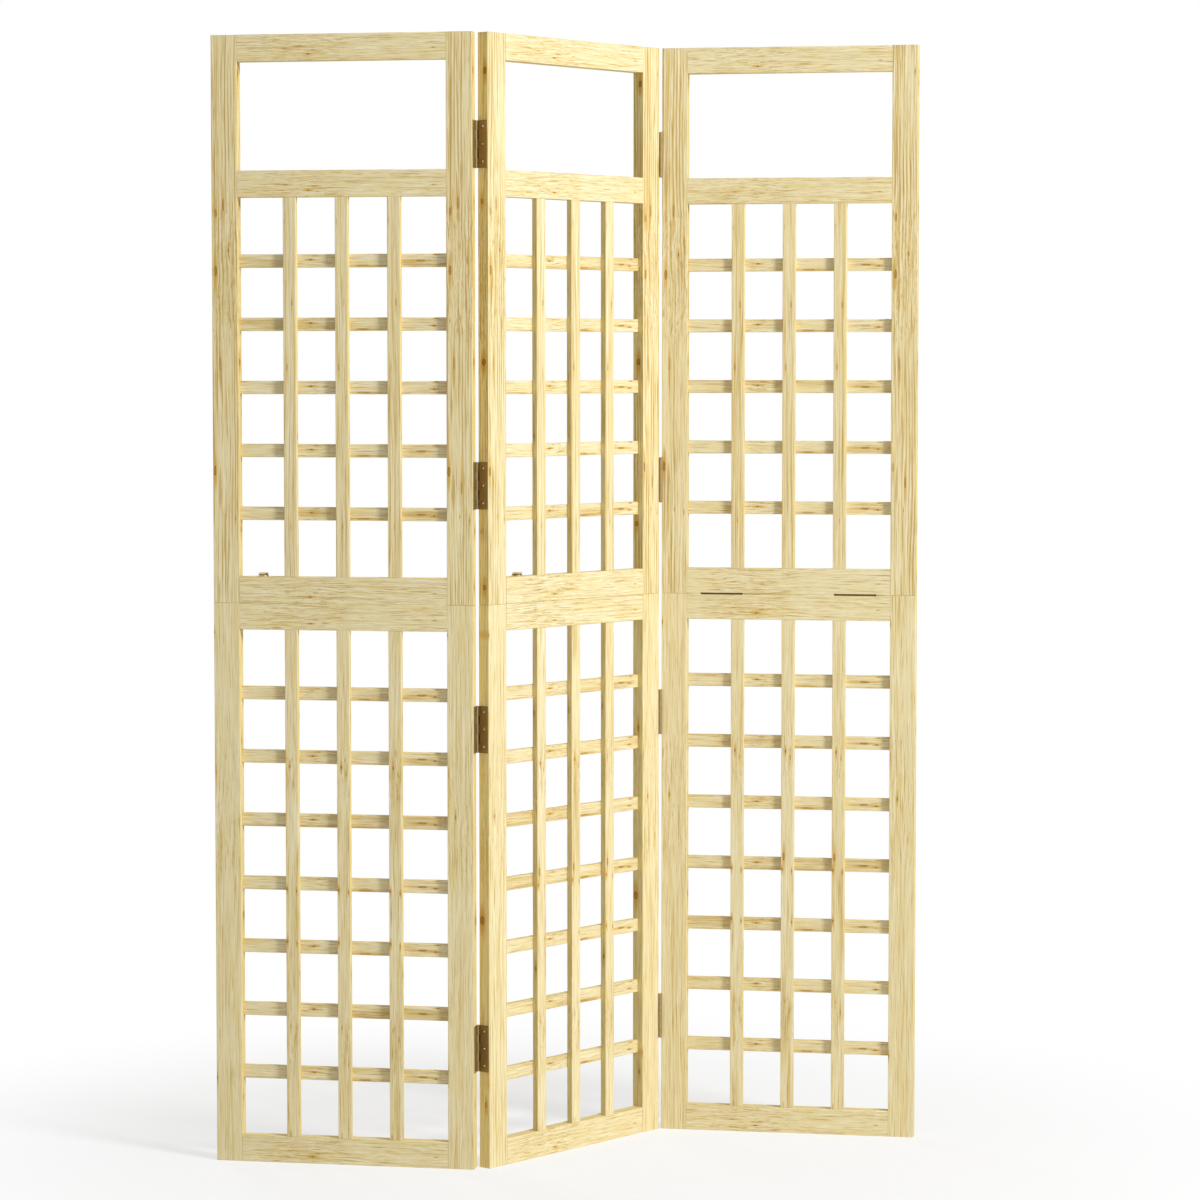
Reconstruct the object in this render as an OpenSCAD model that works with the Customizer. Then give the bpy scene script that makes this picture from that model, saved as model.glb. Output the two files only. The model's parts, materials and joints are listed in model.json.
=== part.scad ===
// Folding garden screen of three pine lattice panels.
// Each panel is a lower and an upper half. The panels turn on upright side hinges, and on panel 3
// the upper half also tips back over the lower one, once the lock bolts of panels 1 and 2 are out.
// Panels are numbered from the left as seen from the front, and the front looks towards -Y.

/* [Screen] */
// Height of the screen
screen_h = 1700; // [1500:10:2000]
// Width of one panel
panel_w = 400; // [320:10:600]
// Bend between neighbouring panels as the screen stands, where 0 is flat
stand_bend = 60; // [20:5:100]

/* [Frame] */
// Width of a stile or rail
frame_w = 40; // [36:1:60]
// Thickness of a stile or rail
frame_t = 20; // [20:1:30]
// Height of the open window under the top rail
window_h = 162; // [100:2:240]
// Gap between the lower and the upper half of a panel
seam_gap = 0.4; // [0.2:0.1:1]
// Width of the small flat planed along each long edge
arris = 0.8; // [0.3:0.1:1.5]

/* [Lattice] */
// Width of a slat
slat_w = 20; // [16:1:30]
// Thickness of a slat
slat_t = 10; // [8:0.5:10]
// Upright slats in a half
upright_count = 3; // [1:1:4]
// Level slats in a lower half
lower_level_count = 7; // [2:1:10]
// Level slats in an upper half
upper_level_count = 5; // [2:1:7]

/* [Joinery] */
// Length of a rail's tenon
tenon_l = 15; // [8:1:18]
// Width of a rail's tenon
tenon_w = 28; // [16:1:30]
// Thickness of a rail's tenon
tenon_t = 8; // [5:1:10]
// Length of a slat's tongue
tongue_l = 5; // [3:1:8]
// Width of a slat's tongue
tongue_w = 14; // [8:1:15]
// Thickness of a slat's tongue
tongue_t = 5; // [3:1:6]
// Room round a tenon or tongue for glue
glue_gap = 0.1; // [0.05:0.05:0.3]
// Room past the end of a tenon or tongue
end_gap = 0.6; // [0.3:0.1:1.5]

/* [Side hinges] */
// Length of a side hinge
side_hinge_l = 70; // [50:1:90]
// Thickness of a side hinge's leaf
side_leaf_t = 1; // [0.8:0.1:1.6]
// Strip of the stile's edge left bare beside a leaf
side_leaf_margin = 1; // [0.5:0.5:3]
// Middle of the topmost hinge under the top of the screen
hinge_below_top = 165; // [60:1:200]
// Middle of the upper half's second hinge over the seam
hinge_above_seam = 178; // [60:1:220]
// Middle of the lower half's first hinge under the seam
hinge_below_seam = 187; // [60:1:240]
// Middle of the lowest hinge over the ground
hinge_above_ground = 181; // [60:1:240]

/* [Mid hinges] */
// Length of a mid hinge
mid_hinge_l = 63; // [50:1:80]
// Thickness of a mid hinge's leaf
mid_leaf_t = 1.4; // [1:0.1:2]
// Strip of the rail left bare in front of a mid hinge's leaf
mid_leaf_margin = 0.4; // [0.2:0.1:2]
// Room at each end of a mid hinge in its recess
recess_end_gap = 1.5; // [0.5:0.5:3]
// Middle of each mid hinge from its end of the panel
mid_hinge_inset = 95; // [90:1:120]

/* [Hinge barrels] */
// Knuckles of a hinge, shared by its two leaves
knuckle_count = 5; // [3:2:7]
// Radius of a barrel
barrel_r = 2.6; // [2.4:0.1:4]
// Radius of a hinge pin
pin_r = 1.5; // [1.2:0.1:1.8]
// Running room round a pin
pin_gap = 0.05; // [0.02:0.01:0.1]
// Running room between two knuckles
knuckle_gap = 0.2; // [0.1:0.05:0.5]
// Room between a barrel and the wood or leaf beside it
barrel_gap = 0.1; // [0.05:0.05:0.5]
// Room between two leaves that lie shut
leaf_gap = 0.1; // [0.05:0.05:0.5]
// Radius of the riveted head on each end of a pin
pin_head_r = 2.1; // [1.9:0.1:2.3]
// Height of that head
pin_head_h = 0.6; // [0.3:0.1:1]

/* [Hinge screws] */
// Screws in a leaf
leaf_screw_count = 3; // [2:1:4]
// Distance from a leaf's end to its first screw
screw_end_inset = 9; // [6:0.5:12]
// Length of a screw
screw_l = 15; // [10:1:18]
// Radius of a screw's head
screw_head_r = 2.6; // [2.2:0.1:3.2]
// Height of a screw's tapered head
screw_head_h = 1.3; // [1:0.1:2]
// Radius of a screw's shank
screw_shank_r = 1.4; // [1:0.1:1.8]
// Length of a screw's point
screw_point_l = 3; // [2:0.5:4]
// Room round a screw
screw_gap = 0.05; // [0.02:0.01:0.1]

/* [Lock bolts] */
// Diameter of a lock bolt's shank
bolt_d = 8; // [6:1:10]
// Length of the shank under the head
bolt_l = 70; // [60:1:76]
// Width of the hexagon head over its flats
bolt_head_w = 13; // [12:0.5:15]
// Height of the head
bolt_head_h = 5.3; // [4:0.1:7]
// Diameter of the washer
washer_d = 17; // [15:0.5:19]
// Thickness of the washer
washer_t = 1.6; // [1:0.1:2.5]
// Room round the shank in the upper rail and the washer
bolt_gap = 0.25; // [0.1:0.05:0.5]
// Room round the shank in the threaded insert
thread_gap = 0.1; // [0.05:0.05:0.2]
// Outer diameter of the threaded insert
insert_d = 12; // [11:0.5:14]
// Length of the threaded insert
insert_l = 18; // [12:1:24]
// Depth of the bore under the end of the bolt
bolt_end_gap = 2; // [1:0.5:4]

/* [Hidden] */

$fn = 48;
pine = "#e6d3a3";
pale_pine = "#efdfb6";
bronze = "#7d6448";
brass = "#c9ab62";

half_h = screen_h / 2;
side_axis_e = side_leaf_t + leaf_gap / 2;
side_axis_c = sqrt(pow(barrel_r + barrel_gap, 2) - pow(side_axis_e, 2));
mid_axis_e = mid_leaf_t + leaf_gap / 2;
mid_axis_c = sqrt(pow(barrel_r + barrel_gap, 2) - pow(seam_gap / 2, 2));
side_leaf_w = side_axis_c + frame_t - side_leaf_margin;
mid_leaf_w = mid_axis_c + frame_t - mid_leaf_margin;

// Heights of a half, of its rails' middles and of the bay that its lattice fills: 0 lower, 1 upper
half_l = half_h - seam_gap / 2;
half_bottom = [0, half_h + seam_gap / 2];
half_top = [half_h - seam_gap / 2, screen_h];
window_rail_z = screen_h - frame_w - window_h - frame_w / 2;
meeting_rail_z = [half_top[0] - frame_w / 2, half_bottom[1] + frame_w / 2];
rail_z = [[frame_w / 2, meeting_rail_z[0]], [meeting_rail_z[1], window_rail_z, screen_h - frame_w / 2]];
bay_bottom = [frame_w, half_bottom[1] + frame_w];
bay_top = [half_top[0] - frame_w, window_rail_z - frame_w / 2];
level_count = [lower_level_count, upper_level_count];
hinge_z = [
    [hinge_above_ground, half_h - hinge_below_seam],
    [half_h + hinge_above_seam, screen_h - hinge_below_top]
];

// A tenon's or tongue's size with room for glue on both sides
function roomy(size) = size + 2 * glue_gap;

// Middles of the slats: equal steps between the stiles and between the rails of the bay
inner_w = panel_w - 2 * frame_w;
upright_u = [for (i = [1:upright_count]) frame_w + inner_w * i / (upright_count + 1)];
function level_z(half) = [
    for (i = [1:level_count[half]])
        bay_bottom[half] + (bay_top[half] - bay_bottom[half]) * i / (level_count[half] + 1)
];
upright_v = slat_t / 2;
level_v = slat_t + slat_t / 2;

// The bolt stands in the middle of the first gap beside the left stile
bolt_u = (frame_w + upright_u[0] - slat_w / 2) / 2;
bolt_v = frame_t / 2;
bolt_seat_z = bay_bottom[1] + washer_t;
mid_hinge_u = [mid_hinge_inset, panel_w - mid_hinge_inset];

// Where each panel stands, worked out from hinge line to hinge line
function turned(p, a) = [p.x * cos(a) - p.y * sin(a), p.x * sin(a) + p.y * cos(a)];
heading = [0, stand_bend, 0];
back_line = [panel_w + side_axis_e, frame_t + side_axis_c];
panel_2_at = back_line - turned([-side_axis_e, frame_t + side_axis_c], stand_bend);
front_line = panel_2_at + turned([panel_w + side_axis_e, -side_axis_c], stand_bend);
panel_3_at = front_line + [side_axis_e, side_axis_c];
panel_at = [[0, 0], panel_2_at, panel_3_at];
corners = [
    for (k = [0:2], u = [0, panel_w], v = [0, frame_t])
        panel_at[k] + turned([u, v], heading[k])
];
barrel_reach = [back_line + [barrel_r, barrel_r], front_line - [barrel_r, barrel_r]];
mid_barrel_back = panel_3_at.y + frame_t + mid_axis_c + barrel_r;
all_x = concat([for (p = corners) p.x], [for (p = barrel_reach) p.x]);
all_y = concat([for (p = corners) p.y], [for (p = barrel_reach) p.y], [mid_barrel_back]);
middle = [(min(all_x) + max(all_x)) / 2, (min(all_y) + max(all_y)) / 2];

// Side hinges of each panel: x is 1 on the right edge, y is 1 where the barrel is at the back
hinge_edges = [[[1, 1]], [[-1, 1], [1, -1]], [[-1, -1]]];
// Panel 2 carries the outer knuckles of both its hinge lines, and the pins
outer_knuckles = [for (i = [0:2:knuckle_count - 1]) i];
inner_knuckles = [for (i = [1:2:knuckle_count - 1]) i];

module in_panel(k) {
    at = panel_at[k - 1] - middle;
    translate([at.x, at.y, 0])
        rotate([0, 0, heading[k - 1]])
            children();
}

// Section of a board: a rectangle with the arris taken off its corners
module board_section(a, b) {
    polygon([
        [arris, 0], [a - arris, 0], [a, arris], [a, b - arris],
        [a - arris, b], [arris, b], [0, b - arris], [0, arris]
    ]);
}

// Board that stands up, with its grain along Z
module upright_board(at, width, thickness, length) {
    translate(at)
        linear_extrude(length)
            board_section(width, thickness);
}

// Board that lies along X, with its grain along X
module level_board(at, width, thickness, length) {
    translate(at)
        rotate([90, 0, 90])
            linear_extrude(length)
                board_section(thickness, width);
}

// Block given by its middle
module block(middle_at, size) {
    translate(middle_at)
        cube(size, center = true);
}

// Screw along -Z with its head's top at the origin, or the hole for it where room is given
module screw_shape(room = 0) {
    head_r = screw_head_r + room;
    shank_r = screw_shank_r + room;
    point = [0, -screw_l - room];
    shank = [[shank_r, screw_point_l - screw_l], [shank_r, -screw_head_h]];
    over = seam_gap + side_leaf_t;
    top = room > 0 ? [[head_r, 0], [head_r, over], [0, over]] : [[head_r, 0], [0, 0]];
    rotate_extrude()
        polygon(concat([point], shank, top));
}

// Hinges are drawn with the pin along Z through the origin. The leaf lies towards -Y, and the wood
// that carries it is on its -X side.
module leaf_screws(length, axis_e, leaf_t, row, room = 0) {
    pitch = (length - 2 * screw_end_inset) / (leaf_screw_count - 1);
    for (i = [0:leaf_screw_count - 1])
        translate([-axis_e + leaf_t, -row, -length / 2 + screw_end_inset + i * pitch])
            rotate([0, 90, 0])
                screw_shape(room);
}

module knuckles(length, which, radius, grow) {
    step = length / knuckle_count;
    for (i = which) {
        bottom = -length / 2 + i * step - (i > 0 ? grow : 0);
        top = -length / 2 + (i + 1) * step + (i < knuckle_count - 1 ? grow : 0);
        translate([0, 0, bottom])
            cylinder(h = top - bottom, r = radius);
    }
}

module hinge_leaf(length, width, axis_e, leaf_t, row, own, other) {
    difference() {
        union() {
            translate([-axis_e, -width, -length / 2])
                cube([leaf_t, width, length]);
            knuckles(length, own, barrel_r, -knuckle_gap / 2);
        }
        knuckles(length, other, barrel_r + barrel_gap, knuckle_gap / 2);
        cylinder(h = length * 2, r = pin_r + pin_gap, center = true);
        leaf_screws(length, axis_e, leaf_t, row, screw_gap);
    }
}

module hinge_pin(length) {
    cylinder(h = length, r = pin_r, center = true);
    for (end = [-1, 1])
        translate([0, 0, end * (length + pin_head_h) / 2])
            cylinder(h = pin_head_h, r = pin_head_r, center = true);
}

// Puts a side hinge on an edge of a panel, in the panel's own frame
module at_side_hinge(edge, z) {
    u = edge.x > 0 ? panel_w + side_axis_e : -side_axis_e;
    v = edge.y > 0 ? frame_t + side_axis_c : -side_axis_c;
    translate([u, v, z])
        rotate([0, 0, edge.x * edge.y > 0 && edge.x < 0 ? 180 : 0])
            mirror(edge.x * edge.y > 0 ? [0, 0, 0] : (edge.x < 0 ? [1, 0, 0] : [0, 1, 0]))
                children();
}

// Puts a mid hinge over the seam: the wood is under a lower leaf and over an upper one
module at_mid_hinge(u, half) {
    translate([u, frame_t + mid_axis_c, half_h])
        rotate([0, -90, 0])
            mirror(half == 0 ? [0, 0, 0] : [1, 0, 0])
                children();
}

module side_screws(k, half, room = 0) {
    for (edge = hinge_edges[k - 1], z = hinge_z[half])
        at_side_hinge(edge, z)
            leaf_screws(side_hinge_l, side_axis_e, side_leaf_t, side_axis_c + frame_t / 2, room);
}

module mid_screws(half, room = 0) {
    for (u = mid_hinge_u)
        at_mid_hinge(u, half)
            leaf_screws(mid_hinge_l, mid_axis_e, mid_leaf_t, mid_axis_c + frame_t / 2, room);
}

// Stile: side is -1 on the left of its panel and 1 on the right
module stile(k, half, side) {
    u = side < 0 ? 0 : panel_w - frame_w;
    inner_u = side < 0 ? frame_w : panel_w - frame_w;
    mortise_l = tenon_l + end_gap;
    slot_l = tongue_l + end_gap;
    color(pine)
        in_panel(k)
            difference() {
                upright_board([u, 0, half_bottom[half]], frame_w, frame_t, half_l);
                for (z = rail_z[half])
                    block([inner_u, frame_t / 2, z], [2 * mortise_l, roomy(tenon_t), roomy(tenon_w)]);
                for (z = level_z(half))
                    block([inner_u, level_v, z], [2 * slot_l, roomy(tongue_t), roomy(tongue_w)]);
                side_screws(k, half, screw_gap);
            }
}

// Rail between the stiles, with its tenons; the children are cut out of it
module rail(z) {
    difference() {
        union() {
            level_board([frame_w, 0, z - frame_w / 2], frame_w, frame_t, inner_w);
            block([panel_w / 2, frame_t / 2, z], [inner_w + 2 * tenon_l, tenon_t, tenon_w]);
        }
        children();
    }
}

// Slots for the tongues of the upright slats in the edge of a rail
module upright_slots(z) {
    for (u = upright_u)
        block([u, upright_v, z], [roomy(tongue_w), roomy(tongue_t), 2 * (tongue_l + end_gap)]);
}

module bolt_bore(half) {
    bolt_end_z = bolt_seat_z - bolt_l;
    if (half == 0) {
        translate([bolt_u, bolt_v, bolt_end_z - bolt_end_gap])
            cylinder(h = half_h - bolt_end_z + bolt_end_gap, r = bolt_d / 2 + bolt_gap);
        translate([bolt_u, bolt_v, half_top[0] - insert_l])
            cylinder(h = insert_l + seam_gap, r = insert_d / 2);
    } else {
        translate([bolt_u, bolt_v, half_h])
            cylinder(h = frame_w * 2, r = bolt_d / 2 + bolt_gap);
    }
}

// Recesses for the mid hinges, as deep as their leaves are thick
module mid_hinge_recesses(half) {
    for (u = mid_hinge_u)
        block([u, frame_t / 2, half_h], [mid_hinge_l + 2 * recess_end_gap, frame_t * 2, 2 * mid_axis_e]);
    mid_screws(half, screw_gap);
}

module meeting_rail(k, half) {
    color(pale_pine)
        in_panel(k)
            rail(meeting_rail_z[half]) {
                upright_slots(half == 0 ? bay_top[0] : bay_bottom[1]);
                if (k == 3)
                    mid_hinge_recesses(half);
                else
                    bolt_bore(half);
            }
}

module bottom_rail(k) {
    color(pale_pine)
        in_panel(k)
            rail(rail_z[0][0])
                upright_slots(bay_bottom[0]);
}

// Top rail and window rail, which are alike but for the slots of the lattice
module cross_rails(k) {
    color(pale_pine)
        in_panel(k) {
            rail(window_rail_z)
                upright_slots(bay_top[1]);
            rail(screen_h - frame_w / 2);
        }
}

module upright_slats(k, half) {
    length = bay_top[half] - bay_bottom[half];
    middle_z = (bay_top[half] + bay_bottom[half]) / 2;
    color(pale_pine)
        in_panel(k)
            for (u = upright_u) {
                upright_board([u - slat_w / 2, 0, bay_bottom[half]], slat_w, slat_t, length);
                block([u, upright_v, middle_z], [tongue_w, tongue_t, length + 2 * tongue_l]);
            }
}

module level_slats(k, half) {
    color(pine)
        in_panel(k)
            for (z = level_z(half)) {
                level_board([frame_w, slat_t, z - slat_w / 2], slat_w, slat_t, inner_w);
                block([panel_w / 2, level_v, z], [inner_w + 2 * tongue_l, tongue_t, tongue_w]);
            }
}

module side_hinge_leaves(k, half) {
    own = k == 2 ? outer_knuckles : inner_knuckles;
    other = k == 2 ? inner_knuckles : outer_knuckles;
    color(bronze)
        in_panel(k)
            for (edge = hinge_edges[k - 1], z = hinge_z[half])
                at_side_hinge(edge, z)
                    hinge_leaf(side_hinge_l, side_leaf_w, side_axis_e, side_leaf_t,
                        side_axis_c + frame_t / 2, own, other);
}

module side_hinge_pins(half) {
    color(brass)
        in_panel(2)
            for (edge = hinge_edges[1], z = hinge_z[half])
                at_side_hinge(edge, z)
                    hinge_pin(side_hinge_l);
}

module mid_hinge_leaves(half) {
    own = half == 0 ? outer_knuckles : inner_knuckles;
    other = half == 0 ? inner_knuckles : outer_knuckles;
    color(bronze)
        in_panel(3)
            for (u = mid_hinge_u)
                at_mid_hinge(u, half)
                    hinge_leaf(mid_hinge_l, mid_leaf_w, mid_axis_e, mid_leaf_t,
                        mid_axis_c + frame_t / 2, own, other);
}

module mid_hinge_pins() {
    color(brass)
        in_panel(3)
            for (u = mid_hinge_u)
                at_mid_hinge(u, 0)
                    hinge_pin(mid_hinge_l);
}

module hinge_screws(k, half) {
    color(brass)
        in_panel(k) {
            side_screws(k, half);
            if (k == 3)
                mid_screws(half);
        }
}

module lock_bolt(k) {
    color(brass)
        in_panel(k)
            translate([bolt_u, bolt_v, bolt_seat_z]) {
                cylinder(h = bolt_head_h, r = bolt_head_w / sqrt(3), $fn = 6);
                translate([0, 0, arris - bolt_l])
                    cylinder(h = bolt_l - arris, r = bolt_d / 2);
                translate([0, 0, -bolt_l])
                    cylinder(h = arris, r1 = bolt_d / 2 - arris, r2 = bolt_d / 2);
            }
}

module bolt_washer(k) {
    color(brass)
        in_panel(k)
            translate([bolt_u, bolt_v, bay_bottom[1]])
                difference() {
                    cylinder(h = washer_t, r = washer_d / 2);
                    cylinder(h = washer_t * 3, r = bolt_d / 2 + bolt_gap, center = true);
                }
}

module threaded_insert(k) {
    color(brass)
        in_panel(k)
            translate([bolt_u, bolt_v, half_top[0] - insert_l])
                difference() {
                    cylinder(h = insert_l, r = insert_d / 2);
                    cylinder(h = insert_l * 3, r = bolt_d / 2 + thread_gap, center = true);
                }
}

stile(1, 0, -1);  // lower_left_stile_1
stile(1, 0, 1);  // lower_right_stile_1
meeting_rail(1, 0);  // lower_meeting_rail_1
bottom_rail(1);  // bottom_rail_1
upright_slats(1, 0);  // lower_upright_slats_1
level_slats(1, 0);  // lower_level_slats_1
stile(1, 1, -1);  // upper_left_stile_1
stile(1, 1, 1);  // upper_right_stile_1
meeting_rail(1, 1);  // upper_meeting_rail_1
cross_rails(1);  // upper_cross_rails_1
upright_slats(1, 1);  // upper_upright_slats_1
level_slats(1, 1);  // upper_level_slats_1
stile(2, 0, -1);  // lower_left_stile_2
stile(2, 0, 1);  // lower_right_stile_2
meeting_rail(2, 0);  // lower_meeting_rail_2
bottom_rail(2);  // bottom_rail_2
upright_slats(2, 0);  // lower_upright_slats_2
level_slats(2, 0);  // lower_level_slats_2
stile(2, 1, -1);  // upper_left_stile_2
stile(2, 1, 1);  // upper_right_stile_2
meeting_rail(2, 1);  // upper_meeting_rail_2
cross_rails(2);  // upper_cross_rails_2
upright_slats(2, 1);  // upper_upright_slats_2
level_slats(2, 1);  // upper_level_slats_2
stile(3, 0, -1);  // lower_left_stile_3
stile(3, 0, 1);  // lower_right_stile_3
meeting_rail(3, 0);  // lower_meeting_rail_3
bottom_rail(3);  // bottom_rail_3
upright_slats(3, 0);  // lower_upright_slats_3
level_slats(3, 0);  // lower_level_slats_3
stile(3, 1, -1);  // upper_left_stile_3
stile(3, 1, 1);  // upper_right_stile_3
meeting_rail(3, 1);  // upper_meeting_rail_3
cross_rails(3);  // upper_cross_rails_3
upright_slats(3, 1);  // upper_upright_slats_3
level_slats(3, 1);  // upper_level_slats_3
side_hinge_leaves(1, 0);  // lower_hinge_leaves_1
hinge_screws(1, 0);  // lower_hinge_screws_1
side_hinge_leaves(2, 0);  // lower_hinge_leaves_2
hinge_screws(2, 0);  // lower_hinge_screws_2
side_hinge_leaves(3, 0);  // lower_hinge_leaves_3
hinge_screws(3, 0);  // lower_hinge_screws_3
side_hinge_pins(0);  // lower_hinge_pins
side_hinge_leaves(1, 1);  // upper_hinge_leaves_1
hinge_screws(1, 1);  // upper_hinge_screws_1
side_hinge_leaves(2, 1);  // upper_hinge_leaves_2
hinge_screws(2, 1);  // upper_hinge_screws_2
side_hinge_leaves(3, 1);  // upper_hinge_leaves_3
hinge_screws(3, 1);  // upper_hinge_screws_3
side_hinge_pins(1);  // upper_hinge_pins
mid_hinge_leaves(0);  // mid_hinge_lower_leaves
mid_hinge_leaves(1);  // mid_hinge_upper_leaves
mid_hinge_pins();
lock_bolt(1);  // lock_bolt_1
bolt_washer(1);  // bolt_washer_1
threaded_insert(1);  // threaded_insert_1
lock_bolt(2);  // lock_bolt_2
bolt_washer(2);  // bolt_washer_2
threaded_insert(2);  // threaded_insert_2
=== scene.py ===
"""Dresses the folding garden screen: planed pine boards, brown butt hinges, brass lock bolts and a stage."""

import functools
import json
import math
from collections import namedtuple

import bmesh
import bpy
from bpy.props import FloatProperty, FloatVectorProperty, IntProperty, PointerProperty
from mathutils import Matrix, Vector


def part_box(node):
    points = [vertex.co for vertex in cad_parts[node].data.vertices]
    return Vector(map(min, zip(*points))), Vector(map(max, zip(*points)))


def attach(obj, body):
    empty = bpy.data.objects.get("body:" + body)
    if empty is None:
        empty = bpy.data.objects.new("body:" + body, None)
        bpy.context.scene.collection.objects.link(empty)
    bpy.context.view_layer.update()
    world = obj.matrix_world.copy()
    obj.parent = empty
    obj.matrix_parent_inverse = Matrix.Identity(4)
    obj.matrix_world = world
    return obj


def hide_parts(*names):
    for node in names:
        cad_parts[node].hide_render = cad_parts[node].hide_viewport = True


bl_info = {
    "name": "Folding garden screen",
    "version": (1, 0, 0),
    "blender": (4, 5, 0),
    "location": "View3D > Sidebar > Garden screen",
    "description": "Boards, hinges and bolts of a three-panel pine screen, over its packed frame",
    "category": "Add Mesh",
}

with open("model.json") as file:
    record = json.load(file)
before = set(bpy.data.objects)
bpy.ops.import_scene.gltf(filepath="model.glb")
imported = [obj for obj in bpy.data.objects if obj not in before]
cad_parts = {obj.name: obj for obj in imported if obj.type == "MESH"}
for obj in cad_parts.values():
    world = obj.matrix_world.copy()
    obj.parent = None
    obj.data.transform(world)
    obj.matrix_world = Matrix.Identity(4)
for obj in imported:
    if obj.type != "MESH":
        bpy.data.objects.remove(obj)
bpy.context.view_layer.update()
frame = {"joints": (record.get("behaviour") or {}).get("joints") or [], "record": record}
JOINTS = {j["name"]: j for j in frame["joints"]}
BODY_OF = {n: b for b, names in frame["record"]["behaviour"]["bodies"].items() for n in names}

MM = 0.001
UP, BACK, ALONG = Vector((0, 0, 1)), Vector((0, 1, 0)), Vector((1, 0, 0))
HALVES = ("lower", "upper")

# What the frame says of the panels
LEFT_BOX, RIGHT_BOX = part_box("lower_left_stile_1"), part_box("lower_right_stile_1")
PANEL_W = RIGHT_BOX[1].x - LEFT_BOX[0].x
FRAME_W = LEFT_BOX[1].x - LEFT_BOX[0].x
FRAME_T = LEFT_BOX[1].y - LEFT_BOX[0].y
RAIL_L = PANEL_W - 2 * FRAME_W
SCREEN_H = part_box("upper_left_stile_1")[1].z - LEFT_BOX[0].z
BACK_LINE = Vector(JOINTS["fold_1_2"]["pos_m"])
FRONT_LINE = Vector(JOINTS["fold_2_3"]["pos_m"])
SIDE_AXIS_E = BACK_LINE.x - RIGHT_BOX[1].x
SIDE_AXIS_C = BACK_LINE.y - RIGHT_BOX[1].y
MID_AXIS_C = JOINTS["tip_over"]["pos_m"][1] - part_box("lower_right_stile_3")[1].y


def panel_matrices():
    """Where each panel stands. Panel 2 hangs between the two hinge lines."""
    across = FRONT_LINE - BACK_LINE
    own = math.atan2(-(FRAME_T + 2 * SIDE_AXIS_C), PANEL_W + 2 * SIDE_AXIS_E)
    turn = Matrix.Rotation(math.atan2(across.y, across.x) - own, 4, "Z")
    start = BACK_LINE - turn @ Vector((-SIDE_AXIS_E, FRAME_T + SIDE_AXIS_C, 0))
    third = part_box("lower_left_stile_3")[0]
    return {
        1: Matrix.Translation((LEFT_BOX[0].x, LEFT_BOX[0].y, 0)),
        2: Matrix.Translation((start.x, start.y, 0)) @ turn,
        3: Matrix.Translation((third.x, third.y, 0)),
    }


PANEL_AT = panel_matrices()


# ---------------------------------------------------------------- sizes and colours a user may change


def length(name, description, value):
    """Property for a length, whose value is given in millimetres"""
    return FloatProperty(name=name, description=description, default=value * MM, min=0, unit="LENGTH")


def colour(name, description, value):
    return FloatVectorProperty(name=name, description=description, default=value, min=0, max=1, subtype="COLOR")


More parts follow.
